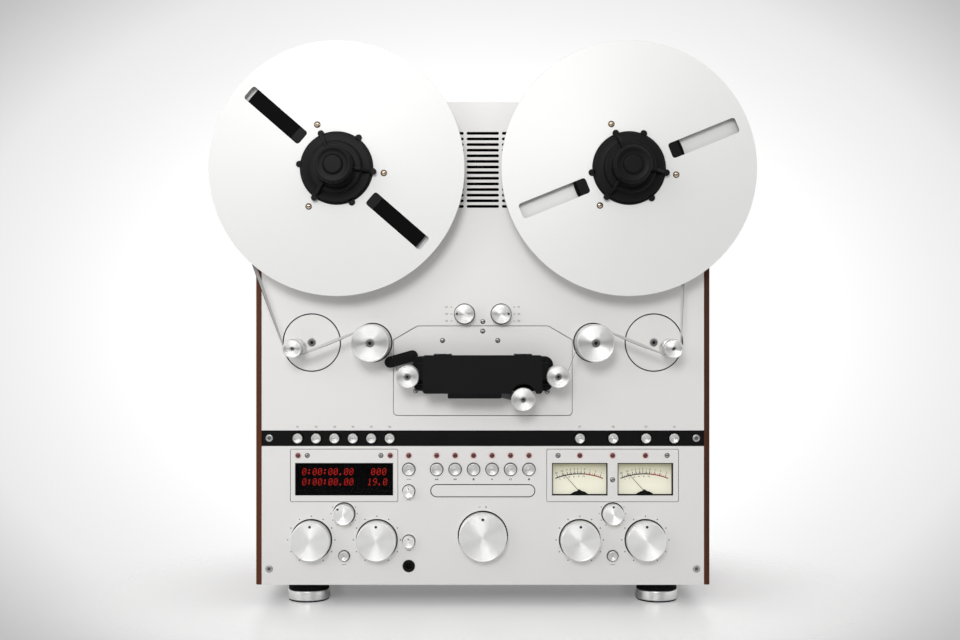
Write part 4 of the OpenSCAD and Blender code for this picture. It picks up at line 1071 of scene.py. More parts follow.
class RECORDER_OT_fasteners(bpy.types.Operator):
    """Screws and lamps of the front."""

    bl_idname = "recorder.fasteners"
    bl_label = "Screws and lamps"
    bl_options = {"REGISTER", "UNDO"}

    def execute(self, context):
        make_finishes()
        middle = spot(0, 0)
        profile = [(3.8, -1.2), (3.8, 0.1), (3.4, 0.4), (2.0, 0.4), (1.8, 0.2), (1.7, -0.7)]
        # The frame screws' sockets are painted dark steel as painted shade
        large = paint(turned("screw", middle, profile, sides=40), "screw_steel", "dark_steel_and_painted_shade")
        heads = repeated(paint_shade_inside(large, 0, 0, 1.95, 0.3), FRAME_SCREWS)
        small = turned("screw", middle, [(2.1, -1.2), (2.1, -0.25), (1.7, 0.12), (1.0, 0.25)], sides=32)
        cut(small, [block("driver", 0, 0, 5.2, 0.7, -0.5, 1.0)])
        # The small screws' slots are painted black as painted shade
        paint_shade_inside(paint(small, "screw_steel", "black_and_painted_shade"), 0, 0, 1.9, -0.4)
        places = HEAD_SCREWS + DECK_SCREWS + BEZEL_SCREWS
        for i, head in enumerate(repeated(small, places)):
            heads.append(swing(head, 37 * i + 15, spot(*places[i])))
        fit(even(joined("front_screws", heads)), "case", "plate_screws")
        # Dark steel rings in the counterbores round the small screws, a painted shade
        seat = [(2.68, -1.25), (2.68, 0.0), (2.5, 0.06), (2.15, 0.06), (2.15, -0.7)]
        lens = [(2.2, -3.0), (2.2, 0.2), (2.7, 0.2), (2.65, 0.6), (2.2, 1.1), (1.3, 1.45), (0.5, 1.55)]
        # The rims round the lamps carry a painted glow
        rim = [(2.4, -0.8), (2.4, 0.12), (3.7, 0.12), (3.5, 0.3), (2.6, 0.3)]
        lamps = PANEL_LAMPS + BEZEL_LAMPS
        for name, outline, shifts, finish, nodes in (
            ("front_screw_shade_rings", seat, places, "dark_steel_and_painted_shade", []),
            ("lamp_lenses", lens, lamps, "lamp_lens", ["indicator_lamps"]),
            ("lamp_halo_rims", rim, lamps, "painted_lamp_halo", []),
        ):
            pieces = repeated(turned("ring", middle, outline, sides=32), shifts)
            dress(even(joined(name, pieces)), finish, "case", *nodes)
        return {"FINISHED"}


def spoke(name, hub, reach, w, h, r, levels, angle, segments=8):
    """A rounded block at a distance from a reel's axis, swung round it by an angle."""
    x, up = hub
    return swing(rounded_slab(name, x + reach, up, w, h, r, *levels, segments), angle, spot(x, up))


class RECORDER_OT_reels(bpy.types.Operator):
    """Both reels with their tape packs, hub adapters and twist locks."""

    bl_idname = "recorder.reels"
    bl_label = "Reels and hubs"
    bl_options = {"REGISTER", "UNDO"}

    def execute(self, context):
        make_finishes()
        for name, plan in REELS.items():
            hub = mirrored(REEL, plan["side"])
            self.make_flanges(name, plan, hub)
            self.make_screws(name, plan, hub)
            self.make_pack(name, plan, hub)
            self.make_adapter(name, plan, hub)
            self.make_lock(name, plan, hub)
        return {"FINISHED"}

    def hole(self, plan, hub):
        """Cutters for a reel's hole and its three notches."""
        notches = [
            spoke("notch", hub, 38.0, 9.0, 6.9, 3.2, THROUGH_HUB, plan["nub"] + third) for third in THIRDS
        ]
        return [peg(*hub, 38.4, *THROUGH_HUB, 96)] + notches

    def make_flanges(self, name, plan, hub):
        """Two flanges, the front one with windows and its inner face black as painted shade between the
        flanges, and the core between them.
        """
        centre, radius = spot(*hub), 133.35
        front = turned("front_flange", centre, [(radius, 31.2), (radius, 32.4)], sides=192)
        rear = turned("rear_flange", centre, [(radius, 22.0), (radius, 23.2)], sides=192)
        windows = [
            spoke("window", hub, 84.0, 75.0, 16.5, 3.0, (28.0, 36.0), plan["window"] + half, 6)
            for half in (0, 180)
        ]
        cut(front, self.hole(plan, hub) + windows)
        cut(rear, self.hole(plan, hub))
        flanges = ease(joined(f"{name}_flanges", [front, rear]), 0.28, 3)
        lay_turning(flanges, centre)
        paint(flanges, "reel_aluminium", "black_anodised")
        # The front flange's inner face is painted black, a painted shade in the gap between the flanges
        inner = FRONT - 31.0 * MM
        for face in flanges.data.polygons:
            face.material_index = int(face.normal.y > 0.5 and face.center.y < inner)
        fit(flanges, f"{name}_reel", f"{name}_reel")
        core = turned(f"{name}_core", centre, [(57.0, 23.15), (57.0, 31.25)], sides=128)
        dress(ease(cut(core, self.hole(plan, hub)), 0.2), "black_moulded", f"{name}_reel")

    def make_screws(self, name, plan, hub):
        """Three slotted screws, each in a dark ring with a dark bar in its slot, both painted shade."""
        head = [(2.5, 32.3), (2.5, 32.8), (2.1, 33.3), (1.4, 33.6), (0.6, 33.7)]
        ring = [(3.4, 32.35), (3.4, 32.6), (3.2, 32.75), (2.6, 32.75), (2.5, 32.5)]
        shifts = []
        for third in THIRDS:
            right, rise = polar(plan["screw"] + third, 49.5)
            shifts.append((hub[0] + right, hub[1] + rise))
        screw = turned("screw", spot(0, 0), head, sides=32)
        cut(screw, [block("driver", 0, 0, 6.4, 0.8, 32.7, 35.0)])
        screws = repeated(screw, shifts)
        # The dark bar in the slot and the dark ring round the head are painted shade
        slot = block("slot", 0, 0, 4.4, 0.9, 32.3, 33.0)
        seats = repeated(joined("seat", [slot, turned("ring", spot(0, 0), ring, sides=40)]), shifts)
        dress(even(joined(f"{name}_reel_screws", screws)), "screw_brass", f"{name}_reel")
        dress(even(joined(f"{name}_screw_shade_rings", seats)), "painted_shade_brass", f"{name}_reel")

    def make_pack(self, name, plan, hub):
        """The tape that is wound on the core."""
        inner, outer = 57.15, plan["pack"]
        low, high = TAPE_LEVEL - TAPE_HALF, TAPE_LEVEL + TAPE_HALF
        profile = [(inner, low), (outer - 0.2, low), (outer, low + 0.2)]
        profile += [(outer, high - 0.2), (outer - 0.2, high), (inner, high)]
        pack = turned(f"{name}_winding", spot(*hub), profile, sides=160)
        cut(pack, [peg(*hub, 57.1, 20.0, 36.0, 128)])
        lay_turning(pack, spot(*hub))
        dress(even(pack), "wound_tape", f"{name}_reel", f"{name}_tape_pack")

    def make_adapter(self, name, plan, hub):
        """The hub's rear half: a turned table with a spindle and three drive lugs."""
        profile = [
            (12, 0.3), (12, 14.0), (54.2, 14.0), (55, 14.8), (55, 21.2), (54.2, 22.0), (37.95, 22.0),
            (37.95, 34.0), (37.2, 34.6),
        ]
        table = turned("table", spot(*hub), profile, sides=128)
        lugs = [
            ease(spoke("lug", hub, 38.5, 7.0, 6.8, 3.3, (22.2, 34.6), plan["nub"] + third), 0.5)
            for third in THIRDS
        ]
        adapter = joined(f"{name}_hub", lugs + [ease(table, 0.3)])
        lay_turning(adapter, spot(*hub))
        dress(adapter, "black_moulded", f"{name}_reel", f"{name}_adapter")

    def make_lock(self, name, plan, hub):
        """The hub's front half: a stepped knob with three lugs and three sloping vanes."""
        profile = [
            (6.0, 22.1), (6.0, 34.9), (36.1, 34.9), (36.1, 38.3), (35.5, 38.9), (28.4, 38.9), (27.0, 39.9),
            (27.0, 43.6), (25.8, 44.9), (20.6, 44.9), (19.5, 46.0), (19.5, 67.8), (17.7, 69.6), (15.2, 69.6),
            (14.6, 69.1), (10.6, 69.1), (10.2, 69.6), (10.0, 70.4), (9.0, 71.4), (8.2, 71.6),
        ]
        centre, (x, up) = spot(*hub), hub
        knob = ease(turned("knob", centre, profile, sides=96), 0.3)
        parts = []
        for third in THIRDS:
            angle = plan["screw"] + third
            parts.append(ease(spoke("lug", hub, 38.2, 7.6, 6.6, 3.2, (34.9, 38.9), angle), 0.6))
            vane = block("vane", x + 27.0, up, 18.0, 3.2, 37.9, 51.9)
            sliced(vane, spot(x + 27.0, up, 51.9), Vector((10.0, -9.0, 0)).normalized())
            parts.append(ease(swing(vane, angle, centre), 0.6))
        lock = joined(f"{name}_twist_lock", parts + [knob])
        lay_turning(lock, centre)
        dress(lock, "black_moulded", f"{name}_lock", f"{name}_lock_knob")


def tangent_angle(first, second):
    """Direction from a wheel's centre to where the straight run to the next wheel leaves it."""
    run = second[0] - first[0]
    return math.atan2(run.y, run.x) + math.acos((first[1] - second[1]) / run.length)


def tape_arcs():
    """The tape's middle line as one list of points for each wheel it passes, in millimetres."""
    ways = {"tension": -1, "guide": 1, "head": -1}
    half = [(*ROLLERS[kind]["place"], way * ROLLERS[kind]["groove"]) for kind, way in ways.items()]
    wheels = [(*REEL, -REELS["supply"]["pack"])] + half
    wheels = [(-x, up, r) for x, up, r in wheels] + half[::-1] + [(*REEL, -REELS["takeup"]["pack"])]
    wheels = [(Vector((x, up)), r + math.copysign(TAPE_GAP, r)) for x, up, r in wheels]
    runs = [tangent_angle(a, b) for a, b in zip(wheels, wheels[1:])]
    arcs = []
    for i, (centre, radius) in enumerate(wheels):
        start, end = runs[max(i - 1, 0)], runs[min(i, len(runs) - 1)]
        sweep = (end - start + math.pi) % (2 * math.pi) - math.pi
        steps = 14 if abs(sweep) > 0.02 else 0
        angles = [start + sweep * k / max(steps, 1) for k in range(steps + 1)]
        arcs.append([centre + radius * Vector((math.cos(a), math.sin(a))) for a in angles])
    return arcs


def ribbon(name, points, twist=0.0):
    """A tape laid through points of the front, slack enough to twist in mid-run; a twisted run's wide part is
    painted pale as a painted reflection, its last strip dark.
    """
    mesh = bpy.data.meshes.new(name)
    run = points[-1] - points[0]
    across = Vector((-run.y, run.x)).normalized() if run.length else Vector((0, 1))
    rows = (-TAPE_HALF, TAPE_HALF - 0.7, TAPE_HALF) if twist else (-TAPE_HALF, TAPE_HALF)
    places = []
    for i, point in enumerate(points):
        lean = math.radians(twist) * math.sin(math.pi * i / (len(points) - 1))
        for half in rows:
            side = point + across * half * math.sin(lean)
            places.append(spot(side.x, side.y, TAPE_LEVEL + half * math.cos(lean)))
    wide = len(rows)
    corners = [i * wide + k for i in range(len(points) - 1) for k in range(wide - 1)]
    mesh.from_pydata(places, [], [(c, c + 1, c + wide + 1, c + wide) for c in corners])
    piece = bpy.data.objects.new(name, mesh)
    bpy.context.scene.collection.objects.link(piece)
    # On a twisted run the wide part is painted pale, a painted reflection of light off the tape
    paint(piece, *(("leader_film", "tape_film") if twist else ("tape_film",)))
    for face in mesh.polygons:
        face.material_index = face.index % (wide - 1)
    use(piece, "SOLIDIFY", thickness=TAPE_THICK * MM, offset=0)
    return even(piece)


class RECORDER_OT_tape(bpy.types.Operator):
    """The tape from pack to pack; each wrap round a tension roller is set on its tension disc."""

    bl_idname = "recorder.tape"
    bl_label = "Tape"
    bl_options = {"REGISTER", "UNDO"}

    def execute(self, context):
        make_finishes()
        arcs = tape_arcs()
        fit(ribbon("tape_head_run", sum(arcs[2:6], [])), "case", "recording_tape")
        # Each side's roller and its two runs: the wheel at the other end, which end of the roller's arc
        # the run leaves, its twist in degrees, and the share of its length at which a bend point is worked
        # out that nothing uses
        for side, roller, runs in (
            ("left", 1, (("reel", 0, 0, -26.0, 0.76), ("guide", 2, -1, 32.0, 0.56))),
            ("right", 6, (("reel", 7, -1, 22.0, 0.76), ("guide", 5, 0, -32.0, 0.56))),
        ):
            fit(ribbon(f"tape_{side}_wrap", arcs[roller]), f"{side}_tension_disc")
            for label, other, end, twist, share in runs:
                at_roller, at_other = arcs[roller][end], arcs[other][-1 - end]
                self.make_run(side, label, at_other, at_roller, twist, share)
        return {"FINISHED"}

    def make_run(self, side, label, at_other, at_roller, twist, share):
        """A straight run of the tape, from the other wheel to the tension roller."""
        count = 48
        points = [at_other.lerp(at_roller, k / count) for k in range(count + 1)]
        piece = ribbon(f"tape_{side}_{label}_run", points, twist)
        bend = at_other.lerp(at_roller, share)
        spot(*bend, TAPE_LEVEL)
        spot(*at_roller, TAPE_LEVEL)
        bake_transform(piece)


class RECORDER_OT_rollers(bpy.types.Operator):
    """Tension discs and rollers, guide rollers, head rollers, pinch roller and capstan."""

    bl_idname = "recorder.rollers"
    bl_label = "Rollers"
    bl_options = {"REGISTER", "UNDO"}

    def execute(self, context):
        make_finishes()
        for side, sign in SIDES:
            body = f"{side}_tension_disc"
            x, up = mirrored(TENSION, sign)
            profile = [(30.0, -3.0), (30.0, 0.0), (4.6, 0.0), (4.3, -0.8)]
            disc = turned(f"{side}_tension_plate", spot(x, up), profile, sides=128)
            dress(ease(disc, 0.3), "brushed_plate", body, body)
            fit(cap_screw(f"{side}_tension_screw", x, up, 3.9, -0.1, 60), body)
            for kind, plan in ROLLERS.items():
                self.make_grooved(f"{side}_{kind}_roller", sign, **plan)
        tyre = turned("pinch_tyre", spot(*PINCH), [(11.4, 20.85), (12.0, 21.4), (12.0, 32.55)], sides=72)
        dress(ease(tyre, 0.2), "black_rubber", "pinch_roller", "pinch_roller")
        profile = [(12.5, 32.5), (12.5, 37.2), (11.7, CAP_FACE), (3.2, CAP_FACE), (3.0, 37.3)]
        cap = turned("pinch_cap", spot(*PINCH), profile, sides=72)
        dress(ease(cap, knob_edge()), "roller_aluminium", "pinch_roller")
        fit(cap_screw("pinch_screw", *PINCH, 2.7, CAP_FACE - 0.1, 90), "pinch_roller")
        shaft = turned("capstan_shaft", spot(*CAPSTAN), [(4.0, -36.0), (4.0, 32.0), (3.4, 32.6)], sides=48)
        dress(even(shaft), "bare_steel", "capstan", "capstan")
        return {"FINISHED"}

    def make_grooved(self, body, sign, place, radius, groove, back, screw, angle, neck=None):
        """A roller with the tape's groove, a turned cap and a screw let into it."""
        x, up = mirrored(place, sign)
        low, high = GROOVE
        profile = [(neck, 0.3), (neck, back)] if neck else []
        profile += [(radius, back), (radius, low), (groove, low), (groove, high), (radius, high)]
        profile += [(radius, CAP_FACE - 0.7), (radius - 0.7, CAP_FACE), (radius - 1.5, CAP_FACE)]
        profile += [(radius - 1.7, 37.8), (screw + 0.8, 37.8), (screw + 0.45, 37.2)]
        roller = turned(f"{body}_turned", spot(x, up), profile, sides=96)
        dress(ease(roller, 0.2), "roller_aluminium", body, body)
        fit(cap_screw(f"{body}_screw", x, up, screw, CAP_FACE - 0.3, angle), body)


def dressed(node, name, width, top=None, split=None):
    """A copy of a node with merged faces and eased edges, cut off or divided at a height if it is given."""
    piece = copied(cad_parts[node])
    for key in list(piece.keys()):
        del piece[key]
    piece.parent = None
    fresh(named(piece, name))
    bpy.ops.object.mode_set(mode="EDIT")
    bpy.ops.mesh.select_all(action="SELECT")
    bpy.ops.mesh.remove_doubles(threshold=CLOSE)
    bpy.ops.mesh.dissolve_limited(angle_limit=math.radians(0.6))
    bpy.ops.object.mode_set(mode="OBJECT")
    if top:
        sliced(piece, spot(0, top), (0, 0, 1))
    if split:
        sliced(piece, spot(0, split), (0, 0, 1), whole=True)
    return ease(piece, width)


class RECORDER_OT_heads(bpy.types.Operator):
    """Head block, tape heads, head cover with its hinges, cue lever and pinch arm."""

    bl_idname = "recorder.heads"
    bl_label = "Heads and cover"
    bl_options = {"REGISTER", "UNDO"}

    def execute(self, context):
        make_finishes()
        dress(dressed("head_block", "heads_base", 0.3, HINGE_TOP), "black_anodised", "case", "head_block")
        shields = []
        for sign in SIGNS:
            shield = rounded_slab("shield", sign * 61.0, 248.2, 26.0, 36.6, 9.0, 14.2, 19.4)
            roller = peg(*mirrored(HEAD_ROLLER, sign), 8.4, 10.0, 24.0, 48)
            shields.append(cut(shield, [roller]))
        dress(ease(joined("heads_shields", shields), 0.4), "black_wrinkle", "case")
        # A black plate on the deck under the pinch roller, a painted shade seen through the cover's notch
        shade_apron = rounded_slab("heads_apron", PINCH[0], PINCH[1] + 13.0, 29.0, 11.2, 2.0, 0.2, 9.0)
        cut(shade_apron, [peg(*CAPSTAN, 5.0, -1.0, 12.0)])
        dress(ease(shade_apron, 0.3), "black_anodised", "case")
        dress(dressed("tape_heads", "heads_polished", 0.4), "bare_steel", "case", "tape_heads")
        tab = HEAD_ROLLER[1] - 17.4
        cover = dressed("head_cover", "heads_cover", 0.4, HINGE_TOP, tab)
        paint(cover, "black_wrinkle", "black_moulded")
        for face in cover.data.polygons:
            face.material_index = int(face.center.z < tab * MM)
        fit(cover, "head_cover", "head_cover")
        for side, sign in SIDES:
            self.make_strap(side, sign * HINGE_X)
        dress(dressed("pinch_arm", "pinch_swing_arm", 0.6), "dark_steel_and_painted_shade", "pinch_arm", "pinch_arm")
        dress(dressed("cue_lever", "cue_handle", 1.6), "black_wrinkle", "cue_lever", "cue_lever")
        fit(cap_screw("cue_screw", *LEVER, 3.2, 13.0, 40, "black_anodised"), "cue_lever")
        return {"FINISHED"}

    def make_strap(self, side, x):
        """A rubber strap over a hinge, cut into thin sections along its depth."""
        low, high = HINGE_TOP - 2.2, HINGE_TOP - 0.1
        strap = slab(f"{side}_hinge_strap", x - 4.8, x + 4.8, low, high, 15.0, 33.4)
        edit(strap, "EDGE", along_depth, bpy.ops.mesh.subdivide, number_cuts=40)
        paint(even(strap), "black_rubber")
        middle = HINGE_TOP - 1.1
        spot(x, middle, 24.0)
        spot(x, middle, 32.6)
        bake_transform(strap)


# Lit dots of the display's figures, row by row from above
DOTS = {
    "0": "01110 10001 10011 10101 11001 10001 01110",
    "1": "00100 01100 00100 00100 00100 00100 01110",
    "9": "01110 10001 10001 01111 00001 00010 01100",
    ":": "00000 01100 01100 00000 01100 01100 00000",
    ".": "00000 00000 00000 00000 00000 01100 01100",
}
# The display's text, with the place of its first figure and the step to the next
DISPLAY_ROWS = (
    ("0:00:00.00", -190.9, 142.4, 5.6),
    ("0:00:00.00", -190.9, 131.5, 5.6),
    ("000", -117.2, 142.4, 5.9),
    ("19.0", -120.9, 131.5, 5.5),
)
# The dials' upper figures, by their angle from upright
FIGURES = (
    (-19.2, "20"), (-14.4, "10"), (-10.2, "7"), (-7.2, "5"), (-4.0, "3"), (-1.3, "2"), (1.6, "1"),
    (4.6, "0"), (9.0, "1"), (13.6, "2"), (18.6, "3"),
)


class RECORDER_OT_instruments(bpy.types.Operator):
    """Display with its dotted digits, and two meters with dials and needles."""

    bl_idname = "recorder.instruments"
    bl_label = "Display and meters"
    bl_options = {"REGISTER", "UNDO"}

    def execute(self, context):
        make_finishes()
        x, w = PANES[0]
        body = block("display_body", x, PANE_UP, w + 2.4, PANE_HIGH + 2.4, -20.5, -3.4)
        dress(ease(body, 0.4), "black_and_painted_shade", "case", "instruments")
        rows = [self.row(*row) for row in DISPLAY_ROWS]
        dress(joined("display_digits", rows), "display_dots", "case")
        for side, x in METERS:
            self.make_meter(side, x)
            self.make_inks(side, x)
            self.make_shade(side, x)
            self.make_needle(side, x)
        return {"FINISHED"}

    def row(self, text, x, up, pitch):
        """A row of slanting figures of small square dots."""
        shifts = []
        for i, letter in enumerate(text):
            for j, line in enumerate(DOTS[letter].split()):
                rise = (3 - j) * 1.08
                start = x + i * pitch + rise * 0.14
                shifts += [(start + (k - 2) * 0.86, up + rise) for k, lit in enumerate(line) if lit == "1"]
        return joined("row", repeated(leaf("dot", 0, 0, -3.1, 0.64, 0.64), shifts))

    def make_meter(self, side, x):
        """A meter's hollow body and its card."""
        body = block(f"{side}_meter_body", x, PANE_UP, 61.7, PANE_HIGH + 2.4, -20.5, -2.6)
        cut(body, [block("hollow", x, PANE_UP, 58.4, PANE_HIGH - 0.8, -9.6, 0.0)])
        dress(ease(body, 0.3), "black_and_painted_shade", "case")
        # The card carries a painted glow and painted shade
        card = block(f"{side}_dial_card_painted_glow", x, PANE_UP, 58.2, PANE_HIGH - 1.0, -9.7, CARD_FACE)
        dress(ease(card, 0.05), "dial_card_painted_glow", "case")

    def make_inks(self, side, x):
        """A dial's scale: a band of short bars, figures with their ticks, and small figures below."""
        inks = {"black_ink": [], "red_ink": []}
        low, radius, reach = 69.3, 70.0, 21.0
        band_red, tick_red = 4.4, 4.7

        def on_arc(angle, r):
            """A place on the dial, at an angle from upright and a radius."""
            right, rise = polar(90 - angle, r)
            return x + right, low + rise

        def ink(angle, red):
            """The marks of the ink that an angle has, red beyond a limit."""
            return inks["red_ink" if angle > red else "black_ink"]

        def bar(angle, r0, r1, width):
            """A short bar that points along the dial's radius."""
            cx, cy = on_arc(angle, (r0 + r1) / 2)
            return swing(block("tick", cx, cy, width, r1 - r0, CARD_FACE, DIAL_INK), -angle, spot(cx, cy))

        for k in range(56):
            angle = -reach + k * 2 * reach / 55
            ink(angle, band_red).append(bar(angle, radius - 0.55, radius + 0.55, 1.1))
        for angle, figure in FIGURES:
            ink(angle, tick_red).append(bar(angle, radius + 0.3, radius + 3.2, 0.6))
            ink(angle, tick_red).append(lettered(figure, 3.2, *on_arc(angle, radius + 5.0), DIAL_INK))
        for k in range(22):
            angle = -19.2 + 37.8 * k / 21
            ink(angle, tick_red).append(bar(angle, radius + 0.3, radius + 1.8, 0.38))
        for k in range(6):
            place = on_arc(-18 + 22.0 * k / 5, radius - 2.6)
            inks["black_ink"].append(lettered(str(20 * k), 2.1, *place, DIAL_INK))
        for finish, marks in inks.items():
            dress(joined(f"{side}_dial_{finish}", marks), finish, "case")

    def make_shade(self, side, x):
        """The round shade over the needle's foot, cut off at the window's lower edge."""
        profile = [(13.9, -5.8), (13.9, -4.2), (13.5, -3.8)]
        disc = turned(f"{side}_dial_shade", spot(x, PANE[0] - 9.4), profile, sides=96)
        sliced(disc, spot(0, PANE[0] + 0.5), (0, 0, -1))
        dress(even(disc), "black_and_painted_shade", "case")

    def make_needle(self, side, x):
        """A needle that narrows to its tip, where it stands at rest."""
        hub = turned("needle_hub", spot(x, NEEDLE_ROW), [(2.0, -9.2), (2.0, -8.0), (1.6, -7.7)], sides=32)
        blade = slab("blade", x - 0.3, x + 0.3, 119.0, 146.8, -8.7, -8.3)
        for vertex in blade.data.vertices:
            if vertex.co.z > 140.0 * MM:
                vertex.co.x = x * MM + (vertex.co.x - x * MM) * 0.6
        swing(blade, 42.0, spot(x, NEEDLE_ROW))
        body = f"{side}_meter_needle"
        dress(even(joined(f"{side}_needle", [blade, hub])), "black_ink", body, body)


class RECORDER_OT_knobs(bpy.types.Operator):
    """Turned knobs, each with its black dot."""

    bl_idname = "recorder.knobs"
    bl_label = "Knobs"
    bl_options = {"REGISTER", "UNDO"}

    def execute(self, context):
        make_finishes()
        for name, x in LARGE_KNOBS.items():
            self.make_knob(name, x, KNOB_ROW, 21.0, 15.0, 90.0, 1.45)
        self.make_knob("jog_knob", *JOG, 25.5, 15.0, 90.0, 1.6)
        self.make_knob("output_blend_knob", LEFT_GROUP, BLEND_ROW, 11.0, 12.0, 135.0, 1.2)
        self.make_knob("record_blend_knob", RIGHT_GROUP, BLEND_ROW, 11.0, 12.0, 90.0, 1.2)
        for name, up in zip(("upper", "lower"), TRIM_ROWS):
            self.make_knob(f"{name}_trim_knob", COLUMN, up, 6.3, 9.0, 90.0, 0.8)
        for (side, sign), angle in zip(SIDES, (180.0, 0.0)):
            place = mirrored(SELECTOR, sign)
            self.make_knob(f"{side}_selector_knob", *place, 10.5, 12.0, angle, 1.2, "roller_aluminium")
        return {"FINISHED"}

    def make_knob(self, body, x, up, r, h, dot_angle, dot, finish="turned_aluminium"):
        """A knob of a radius and height with a slightly dished face, and the dot let into it."""
        rim = min(0.9, r * 0.06)
        profile = [
            (r - 0.4, -1.2), (r, -0.8), (r, h - rim), (r - rim, h), (r - 1.6 * rim, h),
            (r - 2.0 * rim, h - 0.12), (r * 0.5, h - 0.2), (r * 0.06, h - 0.25),
        ]
        knob = turned(f"{body}_turned", spot(x, up), profile, sides=112)
        right, rise = polar(dot_angle, r * (0.75 if r > 8 else 0.5))
        place = (x + right, up + rise)
        cut(knob, [peg(*place, dot, h - 0.8, h + 2.0, 24)])
        ease(knob, min(knob_edge(), 0.2))
        lay_turning(knob, spot(x, up))
        dress(knob, finish, body, body)
        profile = [(dot, h - 0.75), (dot, h - 0.3), (dot * 0.8, h - 0.25)]
        dress(even(turned(f"{body}_dot", spot(*place), profile, sides=24)), "black_ink", body)


class RECORDER_OT_keys(bpy.types.Operator):
    """Round push keys with dished caps."""

    bl_idname = "recorder.keys"
    bl_label = "Keys"
    bl_options = {"REGISTER", "UNDO"}

    def execute(self, context):
        make_finishes()
        large = self.key(6.4)
        for i, x in enumerate(TRANSPORT_X):
            body = f"transport_key_{i + 1}"
            dress(named(copied(large, x, KEY_ROW), f"{body}_cap"), "roller_aluminium", body, body)
        keys = repeated(self.key(5.3), [(x, STRIP_ROW) for x in STRIP_X])
        keys += repeated(self.key(5.5), [(x, SMALL_KEY_ROW) for x in (LEFT_GROUP, RIGHT_GROUP)])
        keys += repeated(large, [(COLUMN, KEY_ROW)])
        dress(joined("function_key_caps", keys), "roller_aluminium", "function_keys", "function_keys")
        return {"FINISHED"}

    def key(self, r):
        """A key of a radius on its stem, with a small hole in the middle of its cap."""
        profile = [
            (2.0, -16.0), (2.0, -5.0), (r, -5.0), (r, 2.5), (r - 0.25, 3.0), (r - 0.6, 3.2), (r - 1.0, 3.15),
            (r * 0.62, 2.85), (0.75, 2.65), (0.6, 2.2), (0.5, 1.2),
        ]
        return even(turned("key", spot(0, 0), profile, sides=56), 60)


class RECORDER_OT_marks(bpy.types.Operator):
    """Plain printed marks: dots round the knobs, figures and simple signs by the keys."""

    bl_idname = "recorder.marks"
    bl_label = "Marks"
    bl_options = {"REGISTER", "UNDO"}

    def execute(self, context):
        make_finishes()
        marks = self.rings()
        marks += [lettered(f"{i + 1:02d}", 3.2, x, 190.6, FRONT_INK) for i, x in enumerate(STRIP_X)]
        for sign in SIGNS:
            x = sign * (SELECTOR[0] + 14.0)
            for k, rise in enumerate((7.4, 0.0, -7.4)):
                up = SELECTOR[1] + rise
                marks.append(self.line(x, up, 2.6))
                marks.append(lettered(f"{k + 1:02d}", 3.0, x + sign * 5.0, up, FRONT_INK))
        marks += self.signs()
        places = [(COLUMN, up) for up in (SIGN_ROW, 112.6, 58.6)]
        places += [(LEFT_GROUP, 43.6), (RIGHT_GROUP, 43.6)]
        marks += [self.line(x, up, 5.0) for x, up in places]
        minus, plus, up = -3.4, 3.4, 105.0
        marks += [self.line(minus, up, 2.4), self.line(plus, up, 2.4), self.line(plus, up, 0.45, 2.4)]
        dress(joined("front_marks", marks), "grey_ink", "case")
        return {"FINISHED"}

    def line(self, x, up, w, h=0.45):
        """A short printed line."""
        return leaf("line", x, up, FRONT_INK, w, h)

    def dot(self, x, up, radius, sides):
        """A printed dot."""
        return peg(x, up, radius, FRONT_INK - INK, FRONT_INK, sides)

    def rings(self):
        """Eleven dots round each knob, but for those that a bezel would cover."""
        size = sizes().mark_dot / MM
        plans = [(x, KNOB_ROW, 25.2, size) for x in LARGE_KNOBS.values()]
        plans += [(x, BLEND_ROW, 14.0, size * 0.8) for x in (LEFT_GROUP, RIGHT_GROUP)]
        dots = []
        for x, up, reach, radius in plans:
            for k in range(11):
                right, rise = polar(240 - 30 * k, reach)
                if up + rise < BEZEL[0] - 1:
                    dots.append(self.dot(x + right, up + rise, radius, 10))
        return dots

    def arrow(self, x, turn):
        """A printed arrowhead that points up until it is turned."""
        fresh()
        bpy.ops.mesh.primitive_circle_add(
            vertices=3,
            radius=1.2 * MM,
            fill_type="NGON",
            location=spot(x, SIGN_ROW, FRONT_INK),
            rotation=(math.pi / 2, math.radians(turn), 0),
        )
        return printed(settle("arrow"))

    def signs(self):
        """The simple signs of rewind, fast wind, stop, play, pause and record."""
        back, fast, stop, play, pause, record = TRANSPORT_X
        return [
            *(self.arrow(back + shift, -90) for shift in (-0.9, 0.9)),
            *(self.arrow(fast + shift, 90) for shift in (-0.9, 0.9)),
            self.line(stop, SIGN_ROW, 2.0, 2.0),
            self.arrow(play, 90),
            *(self.line(pause + shift, SIGN_ROW, 0.7, 2.0) for shift in (-0.7, 0.7)),
            self.dot(record, SIGN_ROW, 1.1, 20),
        ]


